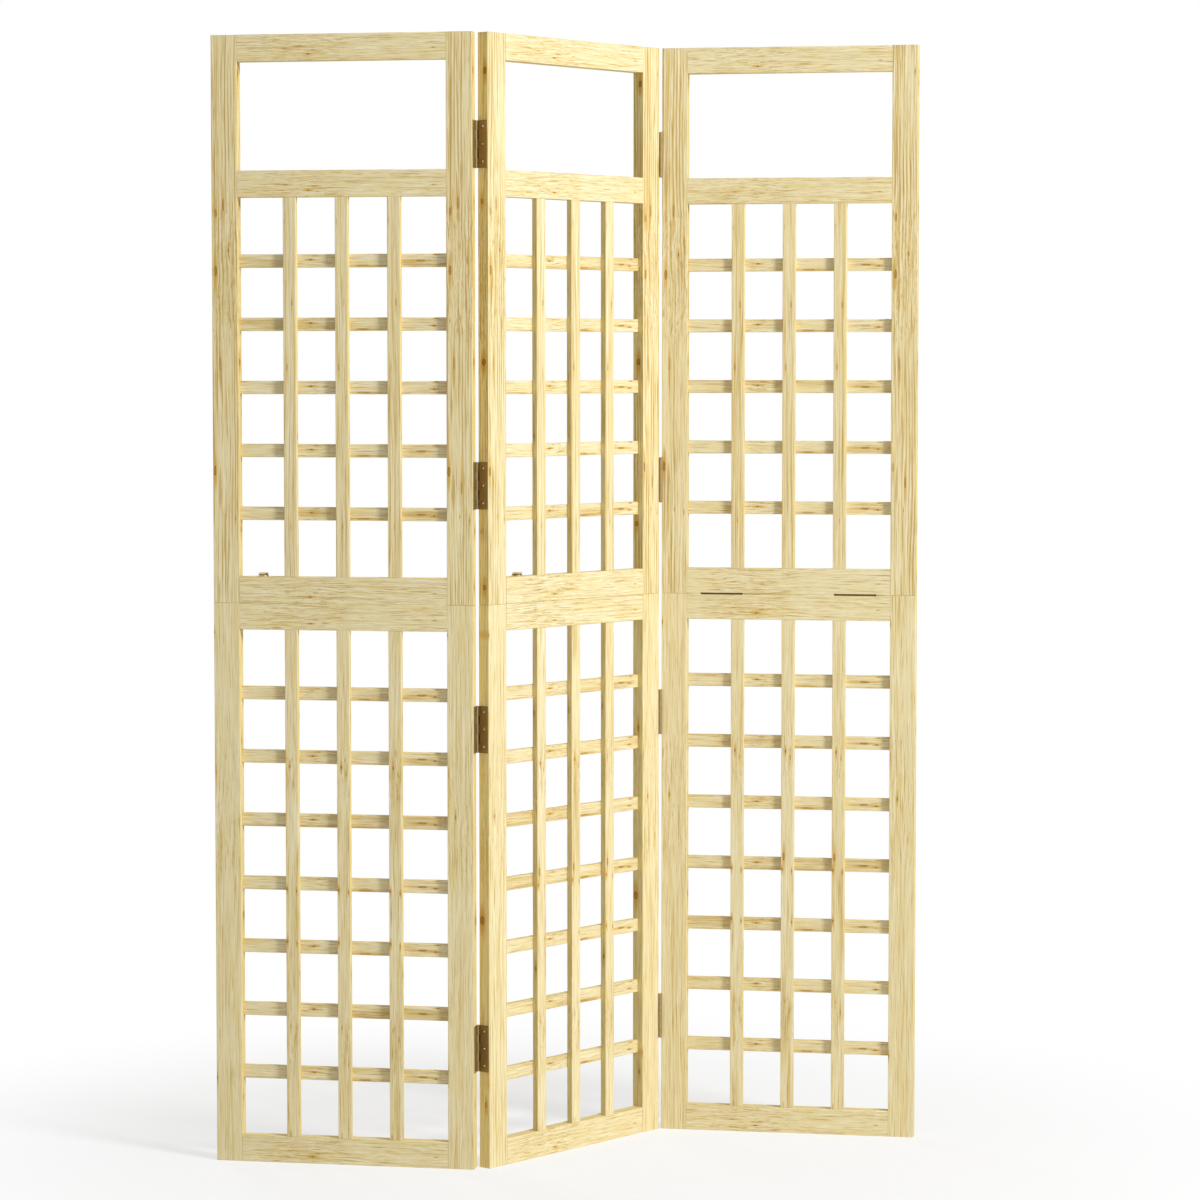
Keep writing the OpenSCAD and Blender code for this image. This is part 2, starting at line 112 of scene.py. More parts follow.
class ScreenSizes(bpy.types.PropertyGroup):
    """Sizes of the boards and of the metal pieces"""

    window_h: length("Window", "Height of the open window under the top rail", 162)
    slat_w: length("Slat width", "Width of a lattice slat", 20)
    slat_t: length("Slat thickness", "Thickness of a lattice slat", 10)
    upright_count: IntProperty(name="Upright slats", description="Upright slats in a half", default=3, min=1)
    lower_count: IntProperty(name="Lower level slats", description="Level slats in a lower half", default=7, min=1)
    upper_count: IntProperty(name="Upper level slats", description="Level slats in an upper half", default=5, min=1)
    edge_r: length("Edge rounding", "Rounding along a board's edges", 0.8)
    end_r: length("End rounding", "Rounding round a board's ends", 0.3)
    seam_gap: length("Seam", "Gap between the two halves", 0.2)
    leaf_margin: length("Leaf margin", "Bare strip beside a side hinge's leaf", 1)
    side_hinge_l: length("Side hinge", "Length of a side hinge", 70)
    side_leaf_t: length("Side leaf", "Thickness of a side hinge's leaf", 1)
    mid_hinge_l: length("Mid hinge", "Length of a mid hinge", 63)
    mid_leaf_t: length("Mid leaf", "Thickness of a mid hinge's leaf", 1.4)
    mid_leaf_margin: length("Mid leaf margin", "Bare strip in front of a mid hinge's leaf", 2)
    mid_inset: length("Mid hinge inset", "Middle of a mid hinge from its end of the panel", 95)
    recess_gap: length("Recess gap", "Room at each end of a mid hinge", 1.5)
    leaf_gap: length("Leaf gap", "Room between two shut leaves", 0.1)
    hinge_ground: length("Lowest hinge", "Middle of the lowest hinge over the ground", 181)
    hinge_under: length("Hinge under the seam", "Middle of the second hinge under the seam", 187)
    hinge_over: length("Hinge over the seam", "Middle of the third hinge over the seam", 178)
    hinge_top: length("Topmost hinge", "Middle of the topmost hinge under the top", 165)
    barrel_r: length("Barrel", "Radius of a hinge's barrel", 2.6)
    notch: length("Notch room", "Room between a barrel and the other leaf's notch", 0.5)
    knuckle_gap: length("Knuckle gap", "Room between two knuckles", 0.2)
    pin_r: length("Hinge pin", "Radius of a hinge pin", 1.5)
    pin_head_r: length("Pin head", "Radius of a hinge pin's riveted head", 2.1)
    pin_head_h: length("Pin head height", "Height of a hinge pin's riveted head", 0.6)
    screw_inset: length("Screw inset", "First screw from a leaf's end", 9)
    screw_l: length("Screw", "Length of a hinge screw", 15)
    screw_head_r: length("Screw head", "Radius of a hinge screw's head", 2.6)
    screw_r: length("Screw shank", "Radius of a hinge screw's shank", 1.4)
    bolt_r: length("Lock bolt", "Radius of a lock bolt's shank", 4)
    bolt_l: length("Bolt length", "Length of a lock bolt under its head", 70)
    bolt_head_w: length("Bolt head", "Width of a bolt's head over its flats", 13)
    bolt_head_h: length("Bolt head height", "Height of a bolt's head", 4.2)
    washer_r: length("Washer", "Radius of a washer", 8.5)
    washer_t: length("Washer thickness", "Thickness of a washer", 1.6)
    insert_r: length("Threaded insert", "Radius of a threaded insert", 6)
    insert_l: length("Insert length", "Length of a threaded insert", 18)


class ScreenColours(bpy.types.PropertyGroup):
    """Colours of the wood and of the metal"""

    pale: colour("Pale pine", "Pine between its streaks", (0.790, 0.692, 0.415))
    gold: colour("Golden bands", "Resin-rich bands of the pine", (0.765, 0.622, 0.280))
    chalk: colour("Light streaks", "Greyer, lighter streaks of the pine", (0.838, 0.774, 0.540))
    streak: colour("Dark lines", "Late wood and fine dark lines", (0.490, 0.320, 0.085))
    knot: colour("Knots", "Heart of a small knot", (0.380, 0.180, 0.028))
    halo: colour("Knot halo", "Golden wood round a knot", (0.600, 0.360, 0.065))
    edge: colour("Narrow edges", "Tint of a board's narrow edges", (1.000, 0.970, 0.780))
    bronze: colour("Hinge", "Brown plated hinge", (0.360, 0.240, 0.082))
    rubbed: colour("Rubbed edges", "Places of a hinge where the plating is rubbed", (0.430, 0.325, 0.150))
    brass: colour("Brass", "Pins, bolts, washers and inserts", (0.620, 0.480, 0.230))
    screw: colour("Screws", "Bright screws of the hinges", (0.820, 0.700, 0.450))
    tarnish: colour("Tarnish", "Dull places of the brass", (0.240, 0.170, 0.080))
    floor: colour("Floor", "Pale floor", (0.900, 0.900, 0.900))


def sizes():
    return bpy.context.scene.screen_sizes


def colours():
    return bpy.context.scene.screen_colours


# ---------------------------------------------------------------- shader expressions


def feed(tree, place, value):
    """Links a signal to an input socket, or sets the socket to a plain value"""
    if isinstance(value, Signal):
        tree.links.new(value.socket, place)
    else:
        place.default_value = value


def operator(kind, swapped=False):
    """Method that adds a Math node of that kind"""
    def work(self, other):
        return self.math(kind, other, self) if swapped else self.math(kind, self, other)
    return work


class Signal:
    """Output socket of a shader node. Arithmetic on it adds Math nodes."""

    def __init__(self, tree, socket):
        self.tree, self.socket = tree, socket

    def math(self, kind, *values):
        node = self.tree.nodes.new("ShaderNodeMath")
        node.operation = kind
        for place, value in zip(node.inputs, values):
            feed(self.tree, place, value)
        return Signal(self.tree, node.outputs[0])

    __add__ = __radd__ = operator("ADD")
    __mul__ = __rmul__ = operator("MULTIPLY")
    __sub__, __rsub__ = operator("SUBTRACT"), operator("SUBTRACT", swapped=True)
    __truediv__, __rtruediv__ = operator("DIVIDE"), operator("DIVIDE", swapped=True)
    lesser, greater = operator("MINIMUM"), operator("MAXIMUM")

    def fract(self):
        return self.math("FRACT", self)

    def rise(self, low, high):
        """0 below low and 1 above high, smooth between. With low above high it falls instead."""
        node = self.tree.nodes.new("ShaderNodeMapRange")
        node.interpolation_type = "SMOOTHSTEP"
        ends = (low, high, 0, 1) if low < high else (high, low, 1, 0)
        for place, value in zip(node.inputs, (self, *ends)):
            feed(self.tree, place, value)
        return Signal(self.tree, node.outputs[0])


def highest(signals):
    """The highest of some signals, or None where there are none"""
    return functools.reduce(Signal.greater, signals) if signals else None


def squares(first, second):
    return first * first + second * second


class Finish:
    """Nodes of a material, or of the world, that are put together from expressions."""

    def __init__(self, owner):
        self.owner = owner
        owner.use_nodes = True
        self.tree = owner.node_tree
        self.tree.nodes.clear()

    def node(self, kind, settings=None, **values):
        """Node of that kind. Its settings are set first, then its sockets: by number, or by name with _ for a space"""
        node = self.tree.nodes.new(kind)
        for key, value in (settings or {}).items():
            setattr(node, key, value)
        for key, value in values.items():
            place = node.inputs[int(key[1:])] if key[1:].isdigit() else node.inputs[key.replace("_", " ")]
            feed(self.tree, place, value)
        return node

    def out(self, node, name=0):
        return Signal(self.tree, node.outputs[name])

    def own_place(self):
        """The piece's own coordinates, in millimetres, that its mesh carries"""
        read = self.node("ShaderNodeAttribute", {"attribute_name": "place"})
        return self.scaled(self.out(read, "Vector"), (1 / MM,) * 3)

    def own_number(self, name):
        return self.out(self.node("ShaderNodeAttribute", {"attribute_name": name}), "Fac")

    def scaled(self, vector, by):
        return self.out(self.node("ShaderNodeVectorMath", {"operation": "MULTIPLY"}, _0=vector, _1=by))

    def moved(self, vector, by):
        return self.out(self.node("ShaderNodeVectorMath", {"operation": "ADD"}, _0=vector, _1=by))

    def apart(self, vector):
        node = self.node("ShaderNodeSeparateXYZ", Vector=vector)
        return [self.out(node, i) for i in range(3)]

    def together(self, x, y, z):
        return self.out(self.node("ShaderNodeCombineXYZ", X=x, Y=y, Z=z))

    def noise(self, vector, spread, detail=2.0, roughness=0.5):
        """Noise from 0 to 1 whose features are about that many millimetres across on each axis"""
        place = self.scaled(vector, tuple(1 / s for s in spread))
        return self.out(self.node("ShaderNodeTexNoise", Vector=place, Scale=1.0, Detail=detail, Roughness=roughness))

    def mix(self, factor, first, second, blend="MIX"):
        """Two colours mixed. Each is a signal or three numbers."""
        first, second = (c if isinstance(c, Signal) else (*c, 1) for c in (first, second))
        settings = {"data_type": "RGBA", "blend_type": blend, "clamp_factor": True}
        return self.out(self.node("ShaderNodeMix", settings, _0=factor, _6=first, _7=second), 2)

    def close(self, shader, kind="ShaderNodeOutputMaterial"):
        """Ends the nodes with that shader"""
        self.node(kind, Surface=self.out(shader))
        return self.owner

    def surface(self, colour, roughness, height, depth, **constants):
        """Ends the nodes with the main shader. height, from 0 to 1, is a bump of that depth in metres."""
        bump = self.out(self.node("ShaderNodeBump", Height=height, Strength=1.0, Distance=depth))
        return self.close(self.node(
            "ShaderNodeBsdfPrincipled", Base_Color=colour, Roughness=roughness, Normal=bump, **constants
        ))


# ---------------------------------------------------------------- pine

# Knots that show on each kind of board: middle across and along the board, half width, half length
# (millimetres) and darkness. Places are read off the photograph.
KNOTS = {
    "upper_stile": (
        (3.5, 199, 1.9, 7, 0.9), (22.7, 175, 1.3, 9, 0.8), (12, 360, 1.4, 10, 0.4), (6, 498, 2.1, 7, 0.8),
        (6.5, 585, 1.6, 6, 0.7), (18, 597, 1.3, 9, 0.75), (26, 529, 1.1, 3, 0.8), (20, 132, 0.8, 1.8, 0.5),
        (35, 127, 0.7, 2, 0.8), (35, 809, 0.9, 2.2, 0.8), (33, 513, 1.2, 6, 0.3),
    ),
    "lower_stile": (
        (1, 127, 0.8, 2.6, 0.9), (12.5, 532, 1.1, 3.4, 0.8), (1, 805, 0.8, 2.4, 0.9), (29, 468, 1.0, 6, 0.3),
        (28, 453, 0.6, 2.0, 0.3), (2, 598, 0.9, 8, 0.45),
    ),
    "rail": ((10, 110, 1.0, 2.2, 0.95), (18.6, 74, 0.7, 4, 0.6), (16, 118, 1.2, 4, 0.35), (17, 301, 0.7, 1.3, 0.7)),
    "upper_upright": (
        (5.3, 314, 1.2, 5, 0.5), (13.4, 411, 1.2, 5, 0.5), (10, 75, 0.8, 3.6, 0.4), (2.5, 532, 0.8, 4, 0.3),
    ),
    "lower_upright": (
        (6.7, 564, 1.2, 2.6, 0.95), (2, 298, 1.3, 2.4, 0.85), (17, 295, 0.8, 1.8, 0.9), (2, 378, 1.3, 2.4, 0.85),
        (17, 375, 0.8, 1.8, 0.9), (4.3, 398, 1.7, 6, 0.7), (14.5, 154, 1.1, 5, 0.4), (6.9, 169, 0.9, 3, 0.4),
        (14.3, 554, 1.1, 4, 0.45),
    ),
    "level": (
        (11.7, 110, 1.1, 2.4, 1.0), (9.6, 279, 1.4, 6.5, 0.75), (7.7, 299, 1.1, 1.9, 1.0), (18.4, 302, 0.8, 1.7, 0.9),
        (17.6, 118, 1.0, 4, 0.35), (2.6, 190, 1.3, 9, 0.5),
    ),
}
# Knots on both narrow edges: middle through and along the board, half width, half length and darkness
EDGE_KNOTS = {
    "upper_stile": (
        (8, 26, 3.0, 4, 0.8), (13, 110, 3.4, 4, 0.8), (9, 362, 3.6, 5, 1.0), (12, 600, 2.6, 4, 0.8),
        (6, 793, 3, 5, 1.0),
    ),
    "lower_stile": ((7, 96, 2, 4, 0.6), (14, 375, 4, 6, 0.8), (9, 640, 2, 5, 0.7)),
    "rail": (),
    "upper_upright": ((6, 210, 1.6, 4, 0.5),),
    "lower_upright": ((4, 250, 1.8, 4, 0.7), (7, 640, 1.6, 5, 0.5)),
    "level": ((5, 52, 1.4, 3, 0.5), (4, 236, 1.6, 3, 0.6)),
}
# Resin-rich (positive) and light (negative) streaks: middle across and along, half width, half length, strength
STREAKS = {
    "upper_stile": (
        (9.5, 172, 2.2, 34, 1.0), (15, 170, 1.6, 34, -0.9), (12, 352, 1.8, 34, 0.8), (9, 750, 1.8, 150, 0.7),
        (1.6, 720, 0.6, 170, 1.0), (5.4, 740, 0.6, 160, 0.9), (7.5, 60, 0.7, 90, 0.8), (17, 480, 0.6, 60, 0.8),
        (25, 460, 0.7, 45, 0.7), (31, 440, 0.6, 50, 0.7), (12.5, 660, 0.5, 70, 0.6), (20, 300, 0.6, 60, 0.5),
    ),
    "lower_stile": ((4, 455, 0.9, 42, 0.8), (8, 450, 0.7, 40, 0.7), (20, 300, 6, 110, 0.25), (27, 650, 5, 90, -0.3)),
    "rail": ((30, 30, 4, 60, -0.25), (9, 60, 1.0, 24, 0.5)),
    "upper_upright": ((2.4, 150, 1.5, 400, 0.5), (9.6, 140, 1.0, 320, 0.5), (16, 120, 1.1, 420, 0.5)),
    "lower_upright": ((5, 3, 2, 8, 0.7), (8, 120, 0.7, 24, 0.5), (12, 130, 0.6, 26, 0.5), (9, 530, 0.6, 26, 0.5)),
    "level": ((2.5, 195, 1.2, 32, 0.8), (1.8, 40, 0.9, 44, 0.5), (14, 225, 2.0, 40, -0.3), (5, 288, 1.0, 22, -0.5)),
}
# Where short dark dashes and wavy grain show, along the board
ZONES = {
    "upper_stile": ((395, 600, 1.0),),
    "lower_stile": ((425, 640, 0.6),),
    "rail": ((35, 165, 1.0),),
    "upper_upright": ((0, 600, 0.15),),
    "lower_upright": ((100, 190, 0.9), (510, 595, 1.0)),
    "level": ((86, 150, 1.0),),
}
# Heart of the tree behind each kind of board (across, through), ring spacing, and how strongly rings show
RINGS = {
    "upper_stile": ((-22, 34), 3.9, 0.75),
    "lower_stile": ((58, 40), 4.4, 0.30),
    "rail": ((-30, 52), 5.2, 0.25),
    "upper_upright": ((-60, 30), 6.7, 0.45),
    "lower_upright": ((10, 46), 4.2, 0.35),
    "level": ((8, 60), 4.6, 0.35),
}
# How long the lines of the grain are on each kind of board, and how dark, next to the plainest board
GRAIN = {
    "upper_stile": (1.0, 1.50),
    "lower_stile": (0.9, 1.10),
    "rail": (0.50, 1.20),
    "upper_upright": (1.3, 1.10),
    "lower_upright": (1.0, 1.15),
    "level": (0.6, 1.25),
}
# Noises of the wood: reach across and along the grain (millimetres), detail and roughness
WOOD_NOISE = {
    "sway": (30, 260, 1.0, 0.5), "wave": (11, 62, 2.0, 0.45), "ragged": (1.6, 5, 2.0, 0.6),
    "drift": (70, 600, 1.0, 0.5), "shown": (12, 190, 1.0, 0.5), "patch": (6.5, 95, 2.0, 0.5),
    "light": (1.9, 90, 3.0, 0.62), "streak": (1.3, 85, 2.0, 0.6), "thread": (0.75, 60, 2.0, 0.65),
    "fibre": (0.32, 18, 2.0, 0.6), "dash": (1.0, 17, 3.0, 0.6),
}
# Levels, or distances in millimetres, between which a layer fades in, or out where the first is higher
FADE = {
    "shown": (0.38, 0.62), "patch": (0.36, 0.72), "light": (0.46, 0.66), "dash": (0.52, 0.72),
    "dark streak": (0.55, 0.74), "dark thread": (0.53, 0.72), "ring": (0.30, 0.92), "ring end": (1.0, 0.93),
    "band": (1.3, 0.1), "left out": (0.10, 0.22), "heart": (1.35, 0.75), "halo": (1.0, 0.0), "rim": (0.2, 0.9),
    "edge knots": (1.6, 0.8), "edge": (0.8, 0.1), "end": (0.30, 0.05), "rubbed": (1.5, 0.4), "tone": (0.35, 0.65),
}
# How strongly each layer shows in the gold, the dark lines, the roughness and the relief
IN_GOLD = {"patch": 0.7, "streak": 1.2, "fibre": 0.5, "stripe": 0.3, "thread": 1.2}
IN_DARK = {"streak": 0.75, "thread": 0.55, "ring": 0.9, "dash": 0.75, "fibre": 0.35, "stripe": 2.4}
IN_ROUGHNESS = {"plain": 0.68, "fibre": 0.22, "core": 0.06, "worn": 0.10}
IN_RELIEF = {"plain": 0.5, "fibre": 0.8, "ring": 0.2, "thread": 0.5, "rim": 0.4}
RELIEF_DEPTH, WOOD_GLOSS = 0.10 * MM, 0.28
# How far the grain sways, waves in a zone and elsewhere, and the blur of a zone's ends (millimetres)
SWAY, WAVE, CALM_WAVE, ZONE_BLUR = 10.0, 6.0, 1.2, 16
# A board's seed moves its wood this far through the noises, and picks its tone, knots and rings
BOARD_APART, TONE_APART, KNOT_PICK, KNOT_STEP, RING_PICK = (310.0, 173.0, 5300.0), (91.0, 57.0, 13.0), 37.0, 0.37, 7.0
KNOT_RAGGED, KNOT_PULL, HALO_ACROSS, HALO_ALONG, HALO_RAGGED = 1.3, 0.3, 0.28, 0.035, 0.5
RING_DRIFT, FAINT_RING, STRIPE_CLEAR = 2.0, 0.2, 0.28
CORE_SHOWS, WORN_SHOWS = 0.92, 0.25
# Tints that darken the wood, and how strongly: rims of knots, darker boards and the ends of boards
RIM_TINT, TONE_TINT, END_TINT = ((0.40, 0.33, 0.26), 0.75), ((1.0, 0.975, 0.91), 0.6), ((0.90, 0.80, 0.66), 0.8)


class Pine(Finish):
    """Planed pine in the board's own coordinates: across, through and along the grain"""

    def __init__(self, kind, width, thickness, long):
        super().__init__(bpy.data.materials.new("pine_" + kind))
        self.kind, self.thickness, self.long = kind, thickness, long
        place, self.seed = self.own_place(), self.own_number("seed")
        self.across, self.through, self.along = self.apart(place)
        self.side = self.across.lesser(width - self.across)
        self.elsewhere = self.seeded(BOARD_APART)
        self.still = self.moved(place, self.elsewhere)

    def seeded(self, by):
        """Place in the noises that belongs to this board alone"""
        return self.scaled(self.together(self.seed, self.seed, self.seed), by)

    def grain(self, name, where, run=1.0):
        """Noise of that name, faded where it has a fade of its own"""
        wide, long, detail, roughness = WOOD_NOISE[name]
        noise = self.noise(where, (wide, wide, long * run), detail, roughness)
        return noise.rise(*FADE[name]) if name in FADE else noise

    def zone(self):
        """Where short dark dashes and wavy grain show"""
        return highest([
            self.along.rise(start - ZONE_BLUR, start + ZONE_BLUR)
            * self.along.rise(end + ZONE_BLUR, end - ZONE_BLUR) * strength
            for start, end, strength in ZONES[self.kind]
        ])

    def knots(self, flow):
        """Bends the grain round the knots. Gives it back with the knots' hearts, halos and dark rims."""
        ragged = self.grain("ragged", self.still) - 0.5
        hearts, halos, rims = [], [], []
        on_face = len(KNOTS[self.kind])
        for index, (middle, height, half_w, half_l, strength) in enumerate(KNOTS[self.kind] + EDGE_KNOTS[self.kind]):
            dx = ((self.across if index < on_face else self.through) - middle) / half_w
            dl = (self.along - height) / half_l
            here = (self.seed * KNOT_PICK + index * KNOT_STEP).fract().rise(*FADE["left out"]) * strength
            near = squares(dx, dl) + ragged * KNOT_RAGGED
            if index < on_face:
                flow = flow - (flow - middle) * (here / (1 + near.greater(0.0) * KNOT_PULL))
            else:
                here = here * self.side.rise(*FADE["edge knots"])
            tail = dx * dx * HALO_ACROSS + dl * dl * HALO_ALONG + ragged * HALO_RAGGED
            hearts.append(near.rise(*FADE["heart"]) * here)
            halos.append(tail.rise(*FADE["halo"]) * here)
            rims.append(hearts[-1] * near.rise(*FADE["rim"]))
        return flow, highest(hearts), highest(halos), highest(rims)

    def streaks(self, flow, way):
        """The resin-rich streaks, or the light ones where way is -1"""
        bands = []
        for middle, height, half_w, half_l, strength in STREAKS[self.kind]:
            if strength * way > 0:
                off = squares((flow - middle) / half_w, (self.along - height) / half_l)
                bands.append(off.rise(*FADE["band"]) * abs(strength))
        return highest(bands)

    def rings(self, flow):
        """Late wood of the year rings, which comes and goes along the board"""
        (heart_x, heart_y), spacing, _ = RINGS[self.kind]
        off = squares(flow - heart_x, self.through - heart_y)
        drift = self.grain("drift", self.still) * RING_DRIFT
        turn = (off.math("SQRT", off) / spacing + drift + self.seed * RING_PICK).fract()
        shown = self.grain("shown", self.still)
        return turn.rise(*FADE["ring"]) * turn.rise(*FADE["ring end"]) * (shown * (1 - FAINT_RING) + FAINT_RING)

    def paint(self):
        """Lays the layers over each other and ends the nodes"""
        tint = colours()
        zone = self.zone()
        flow = self.across + (self.grain("sway", self.still) - 0.5) * SWAY
        flow = flow + (self.grain("wave", self.still) - 0.5) * (zone * WAVE + CALM_WAVE)
        flow, core, halo, rim = self.knots(flow)
        stripe, pallor, ring = self.streaks(flow, 1), self.streaks(flow, -1), self.rings(flow)
        ring_shows = RINGS[self.kind][2]
        run, contrast = GRAIN[self.kind]
        bent = self.moved(self.together(flow, self.through, self.along), self.elsewhere)
        patch, light, streak, thread = (self.grain(name, bent, run) for name in ("patch", "light", "streak", "thread"))
        fibre, dash = self.grain("fibre", bent) - 0.5, self.grain("dash", bent)

        golden = patch * IN_GOLD["patch"] + ring * ring_shows
        golden = golden + (streak - 0.5) * IN_GOLD["streak"] + fibre * IN_GOLD["fibre"]
        dark = streak.rise(*FADE["dark streak"]) * IN_DARK["streak"]
        dark = dark + thread.rise(*FADE["dark thread"]) * IN_DARK["thread"] + ring * ring * ring_shows * IN_DARK["ring"]
        dark = (dark + dash * zone * IN_DARK["dash"]) * contrast + fibre * IN_DARK["fibre"]
        if stripe:
            golden = golden + stripe * (thread * IN_GOLD["thread"] + IN_GOLD["stripe"])
            dark = dark + stripe * (thread - STRIPE_CLEAR).greater(0.0) * IN_DARK["stripe"]
        wood = self.mix(golden, tint.pale, tint.gold)
        wood = self.mix(light.greater(pallor) if pallor else light, wood, tint.chalk)
        wood = self.mix(dark, wood, tint.streak)
        wood = self.mix(halo * (thread + 0.5), wood, tint.halo)
        wood = self.mix(core * CORE_SHOWS, wood, tint.knot)
        wood = self.mix(rim * RIM_TINT[1], wood, RIM_TINT[0], "MULTIPLY")
        tone = self.noise(self.seeded(TONE_APART), (1, 1, 1), 0.0).rise(*FADE["tone"])
        wood = self.mix(tone * TONE_TINT[1], wood, TONE_TINT[0], "MULTIPLY")
        # Narrow edges are sawn another way through the log and are yellower; ends are darker
        wood = self.mix(self.side.rise(*FADE["edge"]), wood, tint.edge, "MULTIPLY")
        end = self.along.lesser(self.long - self.along).rise(*FADE["end"])
        wood = self.mix(end * END_TINT[1], wood, END_TINT[0], "MULTIPLY")
        # The rounding is paler where hands have rubbed it
        face = self.through.lesser(self.thickness - self.through)
        worn = self.side.greater(face).rise(*FADE["rubbed"]) * light
        wood = self.mix(worn * WORN_SHOWS, wood, tint.chalk)

        rough = fibre * IN_ROUGHNESS["fibre"] + IN_ROUGHNESS["plain"]
        rough = rough + core * IN_ROUGHNESS["core"] - worn * IN_ROUGHNESS["worn"]
        height = fibre * IN_RELIEF["fibre"] + IN_RELIEF["plain"] - ring * IN_RELIEF["ring"]
        height = height + (thread - 0.5) * IN_RELIEF["thread"] - rim * IN_RELIEF["rim"]
        return self.surface(wood, rough, height, RELIEF_DEPTH, Specular_IOR_Level=WOOD_GLOSS)


# Noises of the metal: reach on each axis (millimetres), detail and roughness
METAL_NOISE = ((7, 7, 9), 3.0, 0.55), ((0.5, 0.5, 0.5), 2.0, 0.6), ((0.25, 0.25, 8.0), 2.0, 0.6)
# How dark a metal is, next to its plain colour, under a cloud, in grit and under its painted shade
CLOUD_SHADE, GRIT_SHADE, SHADE_AND_GRIME_LEVEL = 0.62, 0.5, 0.10
# Levels between which its wear, painted shade and grit fade in, and how far clouds break up the first two
METAL_FADE = {"wear": (0.35, 0.85), "dirt": (-0.15, -0.85), "grit": (0.60, 0.76)}
WEAR_SHARE, WEAR_CLOUDS, SHADE_CLOUDS, CLEAR_CLOUDS = 0.9, 0.7, 0.5, 0.35
# How strongly each layer shows in a metal's colour, roughness and relief
IN_COLOUR = {"cloud": 0.8, "grit": 0.3, "dirt": 0.9}
IN_SHEEN = {"cloud": 0.25, "drawn": 0.12, "wear": 0.10, "dirt": 0.3}
IN_SKIN = {"plain": 0.5, "drawn": 0.6, "grit": 0.5}
METAL_RELIEF = 0.02 * MM


def metal(name, plain, worn_colour, rough, metallic=1.0):
    """Plated or bare metal. The mesh says where it is worn (above 0) and where shade is painted into it (below 0),
    which low clouds darken a little further with grime.
    """
    make = Finish(bpy.data.materials.new(name))
    place, rubbed = make.own_place(), make.own_number("wear")
    cloud, grit, drawn = (make.noise(place, *kind) for kind in METAL_NOISE)
    clouded, grainy = cloud - 0.5, drawn - 0.5
    wear = (rubbed * WEAR_SHARE + clouded * WEAR_CLOUDS).rise(*METAL_FADE["wear"])
    # Painted shade where the mesh's marks are below 0, with a little cloudy grime
    dirt = (rubbed + clouded * SHADE_CLOUDS).rise(*METAL_FADE["dirt"])
    shade, speck, shade_and_grime_tone = (tuple(c * by for c in plain) for by in (CLOUD_SHADE, GRIT_SHADE, SHADE_AND_GRIME_LEVEL))
    skin = make.mix((cloud - CLEAR_CLOUDS) * IN_COLOUR["cloud"], tuple(plain), shade)
    skin = make.mix(wear, skin, tuple(worn_colour))
    skin = make.mix(grit.rise(*METAL_FADE["grit"]) * IN_COLOUR["grit"], skin, speck)
    # The painted shade darkens the colour towards a near-black tone of the metal
    skin = make.mix(dirt * IN_COLOUR["dirt"], skin, shade_and_grime_tone)
    roughness = rough + clouded * IN_SHEEN["cloud"] + grainy * IN_SHEEN["drawn"]
    roughness = roughness - wear * IN_SHEEN["wear"] + dirt * IN_SHEEN["dirt"]
    height = grainy * IN_SKIN["drawn"] + (grit - 0.5) * IN_SKIN["grit"] + IN_SKIN["plain"]
    return make.surface(skin, roughness, height, METAL_RELIEF, Metallic=metallic)


# ---------------------------------------------------------------- shapes

TINY, NEAR = 1e-7, 1e-6  # Points nearer than the first are merged; lengths within the second are the same
RING_POINTS, RING_INSET, STEP_INSET = 24, 0.1 * MM, 0.05 * MM  # How a round hole is drawn into a flat face


def cut(bm, at, normal):
    """Puts a line of edges where a plane crosses the mesh"""
    bmesh.ops.bisect_plane(bm, geom=bm.verts[:] + bm.edges[:] + bm.faces[:], plane_co=at, plane_no=normal, dist=TINY)


def direction(edge):
    return (edge.verts[0].co - edge.verts[1].co).normalized()


def soften(bm, edges, radius, segments):
    """Rounds edges, and shades only the rounding smooth"""
    made = bmesh.ops.bevel(
        bm, geom=edges, offset=radius, offset_type="OFFSET", segments=segments, profile=0.5,
        affect="EDGES", clamp_overlap=True, material=-1,
    )
    for face in made["faces"]:
        face.smooth = True


def new_points(geom):
    return [v for v in geom if isinstance(v, bmesh.types.BMVert)]


def slab(outline, depth):
    """Solid whose outline in X and Z goes through Y from 0 to depth"""
    bm = bmesh.new()
    face = bm.faces.new([bm.verts.new((x, 0, z)) for x, z in outline])
    grown = bmesh.ops.extrude_face_region(bm, geom=[face])["geom"]
    bmesh.ops.translate(bm, verts=new_points(grown), vec=(0, depth, 0))
    bmesh.ops.recalc_face_normals(bm, faces=bm.faces[:])
    return bm


def sides_of(normal):
    """The two axes that lie in a face with that normal"""
    return [a for a in (ALONG, BACK, UP) if abs(a.dot(normal)) < 0.5]


def face_at(bm, middle, outwards):
    facing = (f for f in bm.faces if f.normal.dot(outwards) > 0.9)
    return min(facing, key=lambda f: (f.calc_center_median() - middle).length)


def ring_in(bm, middle, outwards, radius, square):
    """Puts a round loop of edges into the flat face at middle, and returns the face inside the loop"""
    for side in sides_of(outwards):
        for way in (-1, 1):
            cut(bm, middle + side * way * square, side)
    face = face_at(bm, middle, outwards)
    bmesh.ops.subdivide_edges(bm, edges=face.edges[:], cuts=RING_POINTS // 4 - 1, use_grid_fill=False)
    face = face_at(bm, middle, outwards)
    bmesh.ops.inset_region(bm, faces=[face], thickness=RING_INSET, use_even_offset=True)
    set_round(face, middle, sides_of(outwards), radius)
    return face


